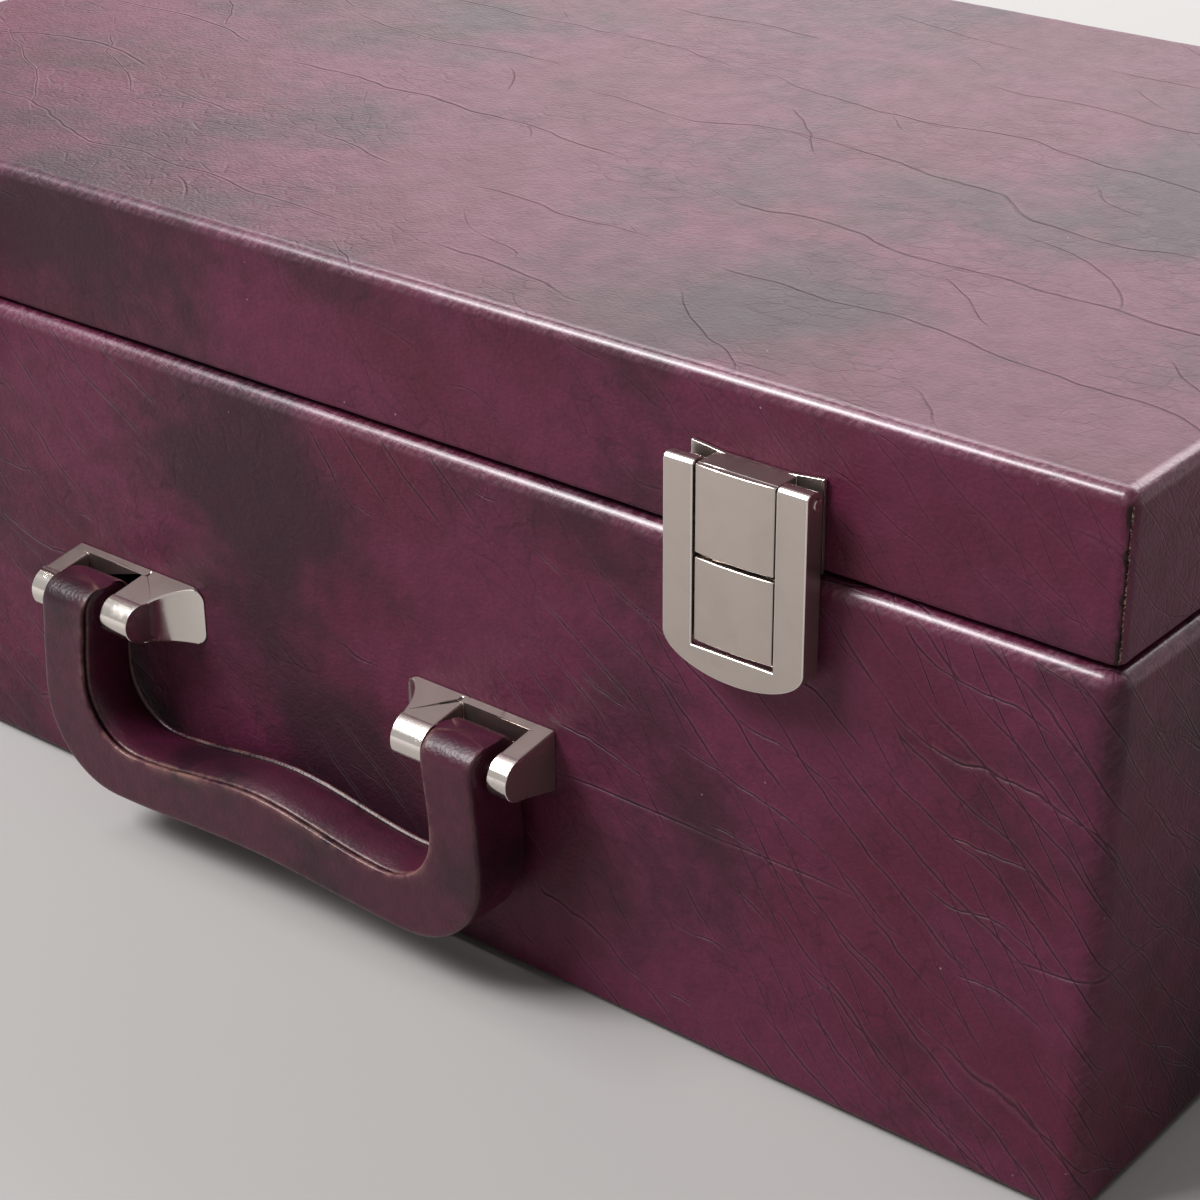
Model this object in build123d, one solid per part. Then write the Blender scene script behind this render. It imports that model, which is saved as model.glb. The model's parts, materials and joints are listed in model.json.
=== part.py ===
"""A leather-covered storage case for chess pieces, with a lift-out tray.

Millimetres. +X is to the right as seen from the front, +Y to the back and +Z up. The origin is
the middle of the underside. Each file written to parts/ is one sub-part in its place in the
closed case.
"""

import math
import os

from build123d import *

# Outside of the case
CASE_WIDTH = 420.0
CASE_DEPTH = 265.0
BODY_HEIGHT = 124.0
LID_HEIGHT = 36.0
SEAM_GAP = 0.6
LID_INSET = 1.2
CORNER_RADIUS = 5.0
BODY_RIM_RADIUS = 3.0
BODY_FOOT_RADIUS = 2.0
LID_TOP_RADIUS = 2.0
LID_RIM_RADIUS = 1.6

# Boards and coverings
LEATHER = 1.2
WALL = 9.0
BOTTOM_BOARD = 6.0
TOP_BOARD = 6.0
BASE_SHEET = 1.0
BASE_SHEET_INSET = 3.0
TURN_IN = 14.0
LINER = 3.0
LINER_LIP = 7.0
LINER_EDGE = 1.0
LIP_CLEARANCE = 0.8
RAIL_LINING = 0.5
RAIL_LINING_GAP = 2.0
FLOOR_CARD = 2.0
LID_PAD = 3.2
LID_PAD_CROWN = 2.4
LID_PAD_EDGE = 1.0
LID_PAD_SLOPE = 60

# Compartments
DIVIDER = 3.0
LOWER_DIVIDER_HEIGHT = 46.0
LONG_SLOT = 106.0
LONG_SLOTS = 8
SPARE_SLOT = 45.0
PAWN_BAYS = 4
TRAY_REST_WIDTH = 6.0
TRAY_REST_HEIGHT = 8.0
TRAY_REST_END = 12.0

# Lift-out tray
TRAY_FLOOR = 58.0
TRAY_CLEARANCE = 1.0
TRAY_BASE = 4.0
TRAY_WALL = 5.0
TRAY_WALL_HEIGHT = 52.0
TRAY_CARD = 1.2
TRAY_DIVIDER_HEIGHT = 46.0
RIBBON_WIDTH = 14.0
RIBBON_THICKNESS = 0.8
RIBBON_TAIL = 16.0
RIBBON_RADIUS = 4.0
RIBBON_GAP = 1.3

# Latches, measured out from the front of the body and up from the seam
LATCH_OFFSET = 128.0
LATCH_WIDTH = 34.5
LATCH_PLATE = 1.0
LATCH_BLOCK_WIDTH = 19.0
LATCH_BLOCK_FACE = 6.1
LATCH_SPLIT = 0.8
LID_PLATE_TOP = 21.0
LID_BLOCK_TOP = 20.0
BODY_PLATE_DROP = 18.8
BODY_BLOCK_DROP = 18.5
CATCH_WALL = 1.2
HASP_FACE = 7.2
HASP_BACK = 2.0
HASP_SHEET = 1.0
HASP_TOP = 20.3
HASP_STRAIGHT = 18.0
HASP_TIP = 7.8
HASP_WINDOW_CLEARANCE = 0.5
HASP_WINDOW_DROP = 19.6
HASP_INNER_WALL = 0.8
HASP_INNER_BACK = 4.0
HASP_FRONT_ROUND = 1.4
HASP_BACK_ROUND = 2.5
HASP_EDGE = 0.3
HASP_PIN_OUT = 4.0
HASP_PIN_UP = 17.6
HASP_PIN_RADIUS = 1.1
HASP_PIN_PROUD = 0.25
RUNNING_FIT = 0.05
CATCH_SPRING = 0.5
CATCH_SPRING_OUT = 3.2
CATCH_SPRING_WIDTH = 1.6
CATCH_NOSE_RADIUS = 1.4
CATCH_NOSE_DROP = 10.0
CATCH_NOSE_PROUD = 1.0
CATCH_PLAY = 0.2

# Rivets and studs
RIVET_RADIUS = 1.3
RIVET_HEAD_RADIUS = 2.1
RIVET_HEAD = 0.6
RIVET_DOME = 0.45
RIVET_SPREAD = 13.5
LID_RIVET_UP = 9.5
BODY_RIVET_DROP = 10.0
STUD_RADIUS = 1.8
STUD_HEAD_RADIUS = 3.4
PEENED_HEAD = 1.2

# Handle, measured out from the front and down from the seam
HANDLE_PIN_DROP = 64.5
HANDLE_PIN_OUT = 11.6
HANDLE_PIN_RADIUS = 2.0
HANDLE_BACK = 3.3
HANDLE_FACE = 20.1
LEG_TOP_INNER = 54.0
LEG_TOP_OUTER = 68.6
LEG_INNER = 56.2
LEG_OUTER = 70.4
LEG_RISE = 6.5
LEG_TOP_RADIUS = 5.8
GRIP_INNER_RADIUS = 15.0
GRIP_OUTER_RADIUS = 22.0
GRIP_TOP_SIDE = 97.0
GRIP_TOP_MIDDLE = 92.5
GRIP_BOTTOM_SIDE = 110.4
GRIP_BOTTOM_MIDDLE = 108.4
GRIP_EDGE = 2.2
GRIP_INNER_EDGE = 0.8
CORE_WIDTH = 4.0
CORE_BACK = 7.0
CORE_FACE = 16.4
CORE_DROP = 104.0
EYE_RADIUS = 3.2

# Handle brackets
BRACKET_INNER = 33.0
BRACKET_OUTER = 76.0
BRACKET_TIP_INNER = 42.6
BRACKET_ARM_GAP_INNER = 51.6
BRACKET_ARM_GAP_OUTER = 70.6
BRACKET_REACH = 16.7
BRACKET_PLATE = 2.3
BRACKET_TOP = 57.5
BRACKET_DEPTH = 15.0
BRACKET_TIP_RADIUS = 5.1
BRACKET_EDGE = 0.5
BRACKET_SLIT = 0.6
BRACKET_SLIT_INSET = 1.8
BRACKET_TIP_LEAN = 0.1
BRACKET_FOOT_LEAN = 0.35
PIN_SOCKET = 5.0
STUD_POSITIONS = (56.0, 66.0)

# Hinges
HINGE_OFFSET = 120.0
HINGE_LENGTH = 38.0
HINGE_LEAF = 1.2
HINGE_LEAF_REACH = 9.2
HINGE_BARREL = 3.0
HINGE_BARREL_GAP = 0.3
HINGE_PIN = 1.3
HINGE_PLAY = 0.1
HINGE_LEAF_PLAY = 0.1
HINGE_KNUCKLE = 14.0
HINGE_STOP = 50.05
HINGE_STOP_START = 2.1
HINGE_STOP_REACH = 7.2
SCREW_HEAD_RADIUS = 2.4
SCREW_RADIUS = 1.3
SCREW_LENGTH = 11.0
SCREW_SPREAD = 13.0
SCREW_SLOT = 0.6

# Places worked out from the sizes above
HALF_WIDTH = CASE_WIDTH / 2
HALF_DEPTH = CASE_DEPTH / 2
FRONT = -HALF_DEPTH
LID_BOTTOM = BODY_HEIGHT + SEAM_GAP
LID_TOP = BODY_HEIGHT + LID_HEIGHT
LID_HALF_WIDTH = HALF_WIDTH - LID_INSET
LID_HALF_DEPTH = HALF_DEPTH - LID_INSET
CARCASS_BOTTOM = BASE_SHEET + LEATHER
BOARD_FLOOR = CARCASS_BOTTOM + BOTTOM_BOARD
INNER_HALF_WIDTH = HALF_WIDTH - LEATHER - WALL
INNER_HALF_DEPTH = HALF_DEPTH - LEATHER - WALL
LINED_HALF_WIDTH = INNER_HALF_WIDTH - LINER
LINED_HALF_DEPTH = INNER_HALF_DEPTH - LINER
LOWER_FLOOR = BOARD_FLOOR + FLOOR_CARD
LID_WALL = WALL - LID_INSET - LIP_CLEARANCE
LID_INNER_HALF_WIDTH = INNER_HALF_WIDTH + LIP_CLEARANCE
LID_INNER_HALF_DEPTH = INNER_HALF_DEPTH + LIP_CLEARANCE
LID_BOARD_BOTTOM = LID_BOTTOM + LEATHER
LID_CEILING = LID_TOP - LEATHER - TOP_BOARD
TRAY_HALF_WIDTH = LINED_HALF_WIDTH - TRAY_CLEARANCE
TRAY_HALF_DEPTH = LINED_HALF_DEPTH - TRAY_CLEARANCE
TRAY_TOP = TRAY_FLOOR + TRAY_BASE + TRAY_WALL_HEIGHT
HINGE_Y = HALF_DEPTH + HINGE_BARREL_GAP + HINGE_BARREL
HINGE_Z = BODY_HEIGHT + SEAM_GAP / 2
WINDOW_HALF = LATCH_BLOCK_WIDTH / 2 + HASP_WINDOW_CLEARANCE
LEG_MIDDLE = (LEG_TOP_INNER + LEG_TOP_OUTER) / 2
CUT = 5.0


def block(x0, x1, y0, y1, z0, z1):
    """A box between six planes."""
    box = Box(x1 - x0, y1 - y0, z1 - z0)
    return Pos((x0 + x1) / 2, (y0 + y1) / 2, (z0 + z1) / 2) * box


def rod_x(x0, x1, y, z, radius):
    """A rod along X."""
    return Pos((x0 + x1) / 2, y, z) * Rot(0, 90, 0) * Cylinder(radius, x1 - x0)


def rod_y(x, y0, y1, z, radius):
    """A rod along Y."""
    return Pos(x, (y0 + y1) / 2, z) * Rot(90, 0, 0) * Cylinder(radius, y1 - y0)


def rounded_block(half_x, half_y, z0, z1, side, top, bottom):
    """A box about the Z axis with its upright, top and bottom edges rounded."""
    solid = block(-half_x, half_x, -half_y, half_y, z0, z1)
    solid = fillet(solid.edges().filter_by(Axis.Z), side)
    solid = fillet(solid.faces().sort_by(Axis.Z)[-1].edges(), top)
    return fillet(solid.faces().sort_by(Axis.Z)[0].edges(), bottom)


def group(solids):
    """Separate solids kept together as one sub-part."""
    return Compound(children=list(solids))


def in_latch_frame(shape, side):
    """Moves a shape from the latch's own frame to the left (-1) or right (1) latch."""
    return Pos(side * LATCH_OFFSET, FRONT, BODY_HEIGHT) * shape


def out(distance):
    """Y of a place this far out from the front of the body, in the latch's own frame."""
    return -distance


def latch_block(half_x, z0, z1, back, face):
    """A box in the latch's own frame."""
    return block(-half_x, half_x, out(face), out(back), z0, z1)


# Body


def body_carcass():
    """The outside of the body's boards, as one block."""
    return rounded_block(
        HALF_WIDTH - LEATHER, HALF_DEPTH - LEATHER, CARCASS_BOTTOM, BODY_HEIGHT - LEATHER,
        CORNER_RADIUS - LEATHER, BODY_RIM_RADIUS - LEATHER, BODY_FOOT_RADIUS - LEATHER)


def body_boards(holes):
    """The bottom board and the four wall boards, butted and glued."""
    carcass = body_carcass()
    x, y = HALF_WIDTH, HALF_DEPTH
    inner_x, inner_y = INNER_HALF_WIDTH, INNER_HALF_DEPTH
    z0, z1 = BOARD_FLOOR, BODY_HEIGHT
    boards = {
        "bottom_board": block(-x, x, -y, y, 0, z0),
        "front_board": block(-x, x, -y, -inner_y, z0, z1),
        "back_board": block(-x, x, inner_y, y, z0, z1),
        "left_board": block(-x, -inner_x, -inner_y, inner_y, z0, z1),
        "right_board": block(inner_x, x, -inner_y, inner_y, z0, z1),
    }
    return {name: (carcass & board) - holes for name, board in boards.items()}


def body_leather(holes):
    """The cover, turned over the rim and in under the bottom board."""
    skin = rounded_block(
        HALF_WIDTH, HALF_DEPTH, BASE_SHEET, BODY_HEIGHT,
        CORNER_RADIUS, BODY_RIM_RADIUS, BODY_FOOT_RADIUS)
    skin -= body_carcass()
    skin -= block(-INNER_HALF_WIDTH, INNER_HALF_WIDTH, -INNER_HALF_DEPTH, INNER_HALF_DEPTH,
                  BOARD_FLOOR, BODY_HEIGHT + CUT)
    skin -= under_opening(0, BOARD_FLOOR)
    return skin - holes


def under_opening(z0, z1):
    """The space inside the turned-in edge of the cover."""
    x = HALF_WIDTH - TURN_IN
    y = HALF_DEPTH - TURN_IN
    return block(-x, x, -y, y, z0, z1)


def base_sheet():
    """The sheet that the case stands on."""
    x = HALF_WIDTH - BASE_SHEET_INSET
    y = HALF_DEPTH - BASE_SHEET_INSET
    sheet = block(-x, x, -y, y, 0, BASE_SHEET)
    return fillet(sheet.edges().filter_by(Axis.Z), CORNER_RADIUS)


def liners():
    """Velvet-covered cards on the walls, whose lip rises into the lid."""
    x, y = INNER_HALF_WIDTH, INNER_HALF_DEPTH
    z0, z1 = BOARD_FLOOR, BODY_HEIGHT + LINER_LIP
    cards = {
        "liner_front": block(-x, x, -y, -y + LINER, z0, z1),
        "liner_back": block(-x, x, y - LINER, y, z0, z1),
        "liner_left": block(-x, -x + LINER, -y + LINER, y - LINER, z0, z1),
        "liner_right": block(x - LINER, x, -y + LINER, y - LINER, z0, z1),
    }
    rounded = {}
    for name, card in cards.items():
        along = Axis.X if name in ("liner_front", "liner_back") else Axis.Y
        rim = card.faces().sort_by(Axis.Z)[-1].edges().filter_by(along)
        rounded[name] = fillet(rim, LINER_EDGE)
    return rounded


def row_widths(half_x):
    """The widths of the long slots at the back, and of the bays at the front."""
    slot = (2 * half_x - (LONG_SLOTS - 1) * DIVIDER) / LONG_SLOTS
    bay = (2 * half_x - SPARE_SLOT - PAWN_BAYS * DIVIDER) / PAWN_BAYS
    side_bays = [bay] * (PAWN_BAYS // 2)
    return [slot] * LONG_SLOTS, side_bays + [SPARE_SLOT] + side_bays


def cross_walls(widths, half_x, y0, y1, z0, z1):
    """The dividers between compartments of these widths, from left to right."""
    walls = []
    x = -half_x
    for width in widths[:-1]:
        x += width
        walls.append(block(x, x + DIVIDER, y0, y1, z0, z1))
        x += DIVIDER
    return walls


def divider_walls(half_x, half_y, z0, height):
    """Dividers for a row of long slots at the back and a row of bays at the front."""
    z1 = z0 + height
    split_back = half_y - LONG_SLOT
    split_front = split_back - DIVIDER
    slots, bays = row_widths(half_x)
    walls = [block(-half_x, half_x, split_front, split_back, z0, z1)]
    walls += cross_walls(slots, half_x, split_back, half_y, z0, z1)
    walls += cross_walls(bays, half_x, -half_y, split_front, z0, z1)
    return walls


def tray_rests():
    """A strip on each side liner that carries the tray."""
    y = LINED_HALF_DEPTH - TRAY_REST_END
    strips = []
    for side in (-1, 1):
        edges = sorted((side * LINED_HALF_WIDTH, side * (LINED_HALF_WIDTH - TRAY_REST_WIDTH)))
        strips.append(block(*edges, -y, y, TRAY_FLOOR - TRAY_REST_HEIGHT, TRAY_FLOOR))
    return group(strips)


def lower_dividers():
    """The dividers under the tray, notched round the tray's rests."""
    walls = divider_walls(LINED_HALF_WIDTH, LINED_HALF_DEPTH, LOWER_FLOOR, LOWER_DIVIDER_HEIGHT)
    walls[0] -= tray_rests()
    return group(walls)


# Tray


def tray_parts():
    """The tray's base, walls, floor card, dividers and ribbon loops."""
    x, y = TRAY_HALF_WIDTH, TRAY_HALF_DEPTH
    inner_x, inner_y = x - TRAY_WALL, y - TRAY_WALL
    z0 = TRAY_FLOOR + TRAY_BASE
    card_top = z0 + TRAY_CARD
    dividers = divider_walls(inner_x, inner_y, card_top, TRAY_DIVIDER_HEIGHT)
    return {
        "tray_base": block(-x, x, -y, y, TRAY_FLOOR, z0),
        "tray_front": block(-x, x, -y, -inner_y, z0, TRAY_TOP),
        "tray_back": block(-x, x, inner_y, y, z0, TRAY_TOP),
        "tray_left": block(-x, -inner_x, -inner_y, inner_y, z0, TRAY_TOP),
        "tray_right": block(inner_x, x, -inner_y, inner_y, z0, TRAY_TOP),
        "tray_card": block(-inner_x, inner_x, -inner_y, inner_y, z0, card_top),
        "tray_dividers": group(dividers),
        "tray_ribbons": group(ribbon(side, inner_x, inner_y) for side in (-1, 1)),
    }


def ribbon(side, inner_x, inner_y):
    """A loop of ribbon above an end wall, its two ends glued inside the wall."""
    divider_face = inner_y - LONG_SLOT - DIVIDER
    y1 = divider_face - RIBBON_GAP
    y0 = y1 - RIBBON_WIDTH
    middle_x = side * (inner_x - RIBBON_THICKNESS)
    middle_z = TRAY_TOP + RIBBON_GAP / 2 + RIBBON_RADIUS
    middle_y = (y0 + y1) / 2
    turn = Pos(middle_x, middle_y, middle_z) * Rot(90, 0, 0)
    loop = turn * Cylinder(RIBBON_RADIUS, RIBBON_WIDTH)
    loop -= turn * Cylinder(RIBBON_RADIUS - RIBBON_THICKNESS, RIBBON_WIDTH + CUT)
    edges = sorted((side * inner_x, side * (inner_x - 2 * RIBBON_THICKNESS)))
    tail_top = middle_z - RIBBON_RADIUS + RIBBON_THICKNESS / 2
    return loop + block(*edges, y0, y1, TRAY_TOP - RIBBON_TAIL, tail_top)


# Lid


def lid_carcass():
    """The outside of the lid's boards, as one block."""
    return rounded_block(
        LID_HALF_WIDTH - LEATHER, LID_HALF_DEPTH - LEATHER, LID_BOARD_BOTTOM, LID_TOP - LEATHER,
        CORNER_RADIUS - LEATHER, LID_TOP_RADIUS - LEATHER, LID_RIM_RADIUS - LEATHER)


def lid_boards(holes):
    """The top board and the four rails, butted and glued."""
    carcass = lid_carcass()
    x, y = LID_HALF_WIDTH, LID_HALF_DEPTH
    inner_x, inner_y = LID_INNER_HALF_WIDTH, LID_INNER_HALF_DEPTH
    z0, z1 = LID_BOTTOM, LID_CEILING
    boards = {
        "lid_top_board": block(-x, x, -y, y, z1, LID_TOP),
        "lid_rail_front": block(-x, x, -y, -inner_y, z0, z1),
        "lid_rail_back": block(-x, x, inner_y, y, z0, z1),
        "lid_rail_left": block(-x, -inner_x, -inner_y, inner_y, z0, z1),
        "lid_rail_right": block(inner_x, x, -inner_y, inner_y, z0, z1),
    }
    return {name: (carcass & board) - holes for name, board in boards.items()}


def lid_leather(holes):
    """The cover, turned over the rim of the lid."""
    skin = rounded_block(
        LID_HALF_WIDTH, LID_HALF_DEPTH, LID_BOTTOM, LID_TOP,
        CORNER_RADIUS, LID_TOP_RADIUS, LID_RIM_RADIUS)
    skin -= lid_carcass()
    skin -= block(-LID_INNER_HALF_WIDTH, LID_INNER_HALF_WIDTH,
                  -LID_INNER_HALF_DEPTH, LID_INNER_HALF_DEPTH, 0, LID_CEILING)
    return skin - holes


def rail_lining():
    """Four strips of velvet on the inner faces of the rails."""
    x, y = LID_INNER_HALF_WIDTH, LID_INNER_HALF_DEPTH
    z0, z1 = LID_BOTTOM + RAIL_LINING_GAP, LID_CEILING
    t = RAIL_LINING
    return group([
        block(-x, x, -y, -y + t, z0, z1),
        block(-x, x, y - t, y, z0, z1),
        block(-x, -x + t, -y + t, y - t, z0, z1),
        block(x - t, x, -y + t, y - t, z0, z1),
    ])


def lid_pad():
    """The padded velvet panel under the top board, slightly crowned."""
    x = LID_INNER_HALF_WIDTH - RAIL_LINING - LID_PAD_EDGE
    y = LID_INNER_HALF_DEPTH - RAIL_LINING - LID_PAD_EDGE
    card_bottom = LID_CEILING - LID_PAD + LID_PAD_CROWN
    card = block(-x, x, -y, y, card_bottom, LID_CEILING)
    crown = Pos(0, 0, card_bottom) * Rectangle(2 * x, 2 * y)
    return card + extrude(crown, amount=-LID_PAD_CROWN, taper=LID_PAD_SLOPE)


# Latches


def hasp_outline(shrink):
    """The hasp's outline as seen from the front, drawn in by a wall."""
    half = LATCH_WIDTH / 2 - shrink
    top = HASP_TOP - shrink
    straight = Pos(0, (top - HASP_STRAIGHT) / 2) * Rectangle(2 * half, top + HASP_STRAIGHT)
    tip = Pos(0, -HASP_STRAIGHT) * Ellipse(half, HASP_TIP - shrink)
    return straight + tip


def hasp():
    """The U-shaped hasp: two channel-shaped arms and a plain bar to lift it by."""
    depth = HASP_FACE - HASP_BACK
    inside = HASP_FACE - HASP_SHEET
    shell = extrude(Plane.XZ.offset(HASP_BACK) * hasp_outline(0), amount=depth)
    top = shell.faces().sort_by(Axis.Z)[-1].edges().filter_by(Axis.X).sort_by(Axis.Y)
    shell = fillet(top[0], HASP_FRONT_ROUND)
    top = shell.faces().sort_by(Axis.Z)[-1].edges().filter_by(Axis.X).sort_by(Axis.Y)
    shell = fillet(top[-1], HASP_BACK_ROUND)
    shell -= extrude(Plane.XZ.offset(HASP_BACK - CUT) * hasp_outline(HASP_SHEET),
                     amount=inside - HASP_BACK + CUT)
    wall_foot = -HASP_STRAIGHT + HASP_SHEET
    for side in (-1, 1):
        edges = sorted((side * WINDOW_HALF, side * (WINDOW_HALF + HASP_INNER_WALL)))
        shell += block(*edges, out(inside), out(HASP_INNER_BACK), wall_foot, HASP_TOP - HASP_SHEET)
        hole_half = CATCH_NOSE_RADIUS + CATCH_PLAY
        shell -= block(*edges, out(inside), out(HASP_INNER_BACK - CUT),
                       -CATCH_NOSE_DROP - hole_half, -CATCH_NOSE_DROP + hole_half)
    shell -= latch_block(WINDOW_HALF, -HASP_WINDOW_DROP, HASP_TOP + CUT, HASP_BACK - CUT,
                         HASP_FACE + CUT)
    shell -= latch_block(WINDOW_HALF, -HASP_STRAIGHT - HASP_TIP - CUT, -HASP_STRAIGHT,
                         HASP_BACK - CUT, inside)
    bore = LATCH_WIDTH / 2 + CUT
    return shell - rod_x(-bore, bore, out(HASP_PIN_OUT), HASP_PIN_UP, HASP_PIN_RADIUS)


def hasp_pin():
    """The pin that joins the hasp's arms through the lid plate's block."""
    half = LATCH_WIDTH / 2 + HASP_PIN_PROUD
    pin = rod_x(-half, half, out(HASP_PIN_OUT), HASP_PIN_UP, HASP_PIN_RADIUS)
    return fillet(pin.edges(), HASP_PIN_PROUD)


def rivet_hole(x, z, back, length, head_radius, radius):
    """The hole of a rivet along Y, with the room for its peened head at the inner end."""
    hole = rod_y(x, out(back + CUT), out(back - length), z, radius)
    return hole + rod_y(x, out(back - length + PEENED_HEAD), out(back - length), z, head_radius)


def rivet(x, z, back, length, head):
    """A rivet along Y: a domed head in front, a shank and a peened head flush inside."""
    shank = rod_y(x, out(back), out(back - length), z, RIVET_RADIUS)
    front = rod_y(x, out(back + head), out(back), z, RIVET_HEAD_RADIUS)
    front = fillet(front.edges().sort_by(Axis.Y)[0], RIVET_DOME)
    inner = rod_y(x, out(back - length + PEENED_HEAD), out(back - length), z, RIVET_HEAD_RADIUS)
    return shank + front + inner


def lid_plate():
    """The plate on the lid with the block that the hasp's pin turns in."""
    back = -LID_INSET
    plate = latch_block(LATCH_WIDTH / 2, LATCH_SPLIT, LID_PLATE_TOP, back, back + LATCH_PLATE)
    body = latch_block(LATCH_BLOCK_WIDTH / 2, LATCH_SPLIT, LID_BLOCK_TOP, back, LATCH_BLOCK_FACE)
    face = body.faces().sort_by(Axis.Y)[0]
    plate += fillet(face.edges(), HASP_EDGE)
    half = LATCH_BLOCK_WIDTH
    bore = rod_x(-half, half, out(HASP_PIN_OUT), HASP_PIN_UP, HASP_PIN_RADIUS + RUNNING_FIT)
    for side in (-1, 1):
        plate -= rod_y(side * RIVET_SPREAD, out(back + CUT), out(back - CUT), LID_RIVET_UP,
                       RIVET_RADIUS)
    return plate - bore


def catch_plate():
    """The plate on the body with the hollow block that the hasp closes over."""
    plate = latch_block(LATCH_WIDTH / 2, -BODY_PLATE_DROP, 0, 0, LATCH_PLATE)
    body = latch_block(LATCH_BLOCK_WIDTH / 2, -BODY_BLOCK_DROP, 0, 0, LATCH_BLOCK_FACE)
    face = body.faces().sort_by(Axis.Y)[0]
    plate += fillet(face.edges(), HASP_EDGE)
    inside = LATCH_BLOCK_WIDTH / 2 - CATCH_WALL
    plate -= latch_block(inside, -BODY_BLOCK_DROP + CATCH_WALL, -CATCH_WALL, -CUT,
                         LATCH_BLOCK_FACE - CATCH_WALL)
    hole_half = CATCH_NOSE_RADIUS + CATCH_PLAY
    slot_back = CATCH_SPRING_OUT - CATCH_PLAY
    slot_face = CATCH_SPRING_OUT + CATCH_SPRING_WIDTH + CATCH_PLAY
    plate -= latch_block(LATCH_BLOCK_WIDTH, -CATCH_NOSE_DROP - hole_half,
                         -CATCH_NOSE_DROP + hole_half, slot_back, slot_face)
    for side in (-1, 1):
        plate -= rod_y(side * RIVET_SPREAD, out(CUT), out(-CUT), -BODY_RIVET_DROP, RIVET_RADIUS)
    return plate


def catch_spring():
    """A U-shaped leaf spring in the catch block, with a nose out through each side."""
    half = LATCH_BLOCK_WIDTH / 2 - CATCH_WALL - CATCH_PLAY
    top = -CATCH_WALL - CATCH_PLAY
    bottom = -BODY_BLOCK_DROP + CATCH_WALL + CATCH_PLAY
    face = CATCH_SPRING_OUT + CATCH_SPRING_WIDTH
    spring = latch_block(half, bottom, top, CATCH_SPRING_OUT, face)
    spring -= latch_block(half - CATCH_SPRING, bottom + CATCH_SPRING, top + CUT,
                          CATCH_SPRING_OUT - CUT, face + CUT)
    nose_x = LATCH_BLOCK_WIDTH / 2 + CATCH_NOSE_PROUD - CATCH_NOSE_RADIUS
    for side in (-1, 1):
        edges = sorted((side * (half - CATCH_SPRING), side * (half + CUT)))
        limit = block(*edges, out(face), out(CATCH_SPRING_OUT), bottom, top)
        nose = rod_y(side * nose_x, out(face), out(CATCH_SPRING_OUT), -CATCH_NOSE_DROP,
                     CATCH_NOSE_RADIUS)
        stem = block(*sorted((side * nose_x, side * half)), out(face), out(CATCH_SPRING_OUT),
                     -CATCH_NOSE_DROP - CATCH_NOSE_RADIUS, -CATCH_NOSE_DROP + CATCH_NOSE_RADIUS)
        spring += (nose + stem) & limit
    return spring


def lid_rivets(side):
    """The two rivets of a lid plate."""
    length = LATCH_PLATE + LEATHER + LID_WALL
    back = LATCH_PLATE - LID_INSET
    return [in_latch_frame(rivet(sign * RIVET_SPREAD, LID_RIVET_UP, back, length, RIVET_HEAD), side)
            for sign in (-1, 1)]


def body_rivets(side):
    """The two rivets of a catch plate."""
    length = LATCH_PLATE + LEATHER + WALL
    return [in_latch_frame(
        rivet(sign * RIVET_SPREAD, -BODY_RIVET_DROP, LATCH_PLATE, length, RIVET_HEAD), side)
        for sign in (-1, 1)]


def lid_rivet_holes():
    """The holes of the lid plates' rivets in the cover and the front rail."""
    length = LATCH_PLATE + LEATHER + LID_WALL
    back = LATCH_PLATE - LID_INSET
    return [in_latch_frame(
        rivet_hole(sign * RIVET_SPREAD, LID_RIVET_UP, back, length, RIVET_HEAD_RADIUS,
                   RIVET_RADIUS), side)
        for side in (-1, 1) for sign in (-1, 1)]


def body_rivet_holes():
    """The holes of the catch plates' rivets in the cover and the front board."""
    length = LATCH_PLATE + LEATHER + WALL
    return [in_latch_frame(
        rivet_hole(sign * RIVET_SPREAD, -BODY_RIVET_DROP, LATCH_PLATE, length,
                   RIVET_HEAD_RADIUS, RIVET_RADIUS), side)
        for side in (-1, 1) for sign in (-1, 1)]


# Handle, built for the right side and mirrored


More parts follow.
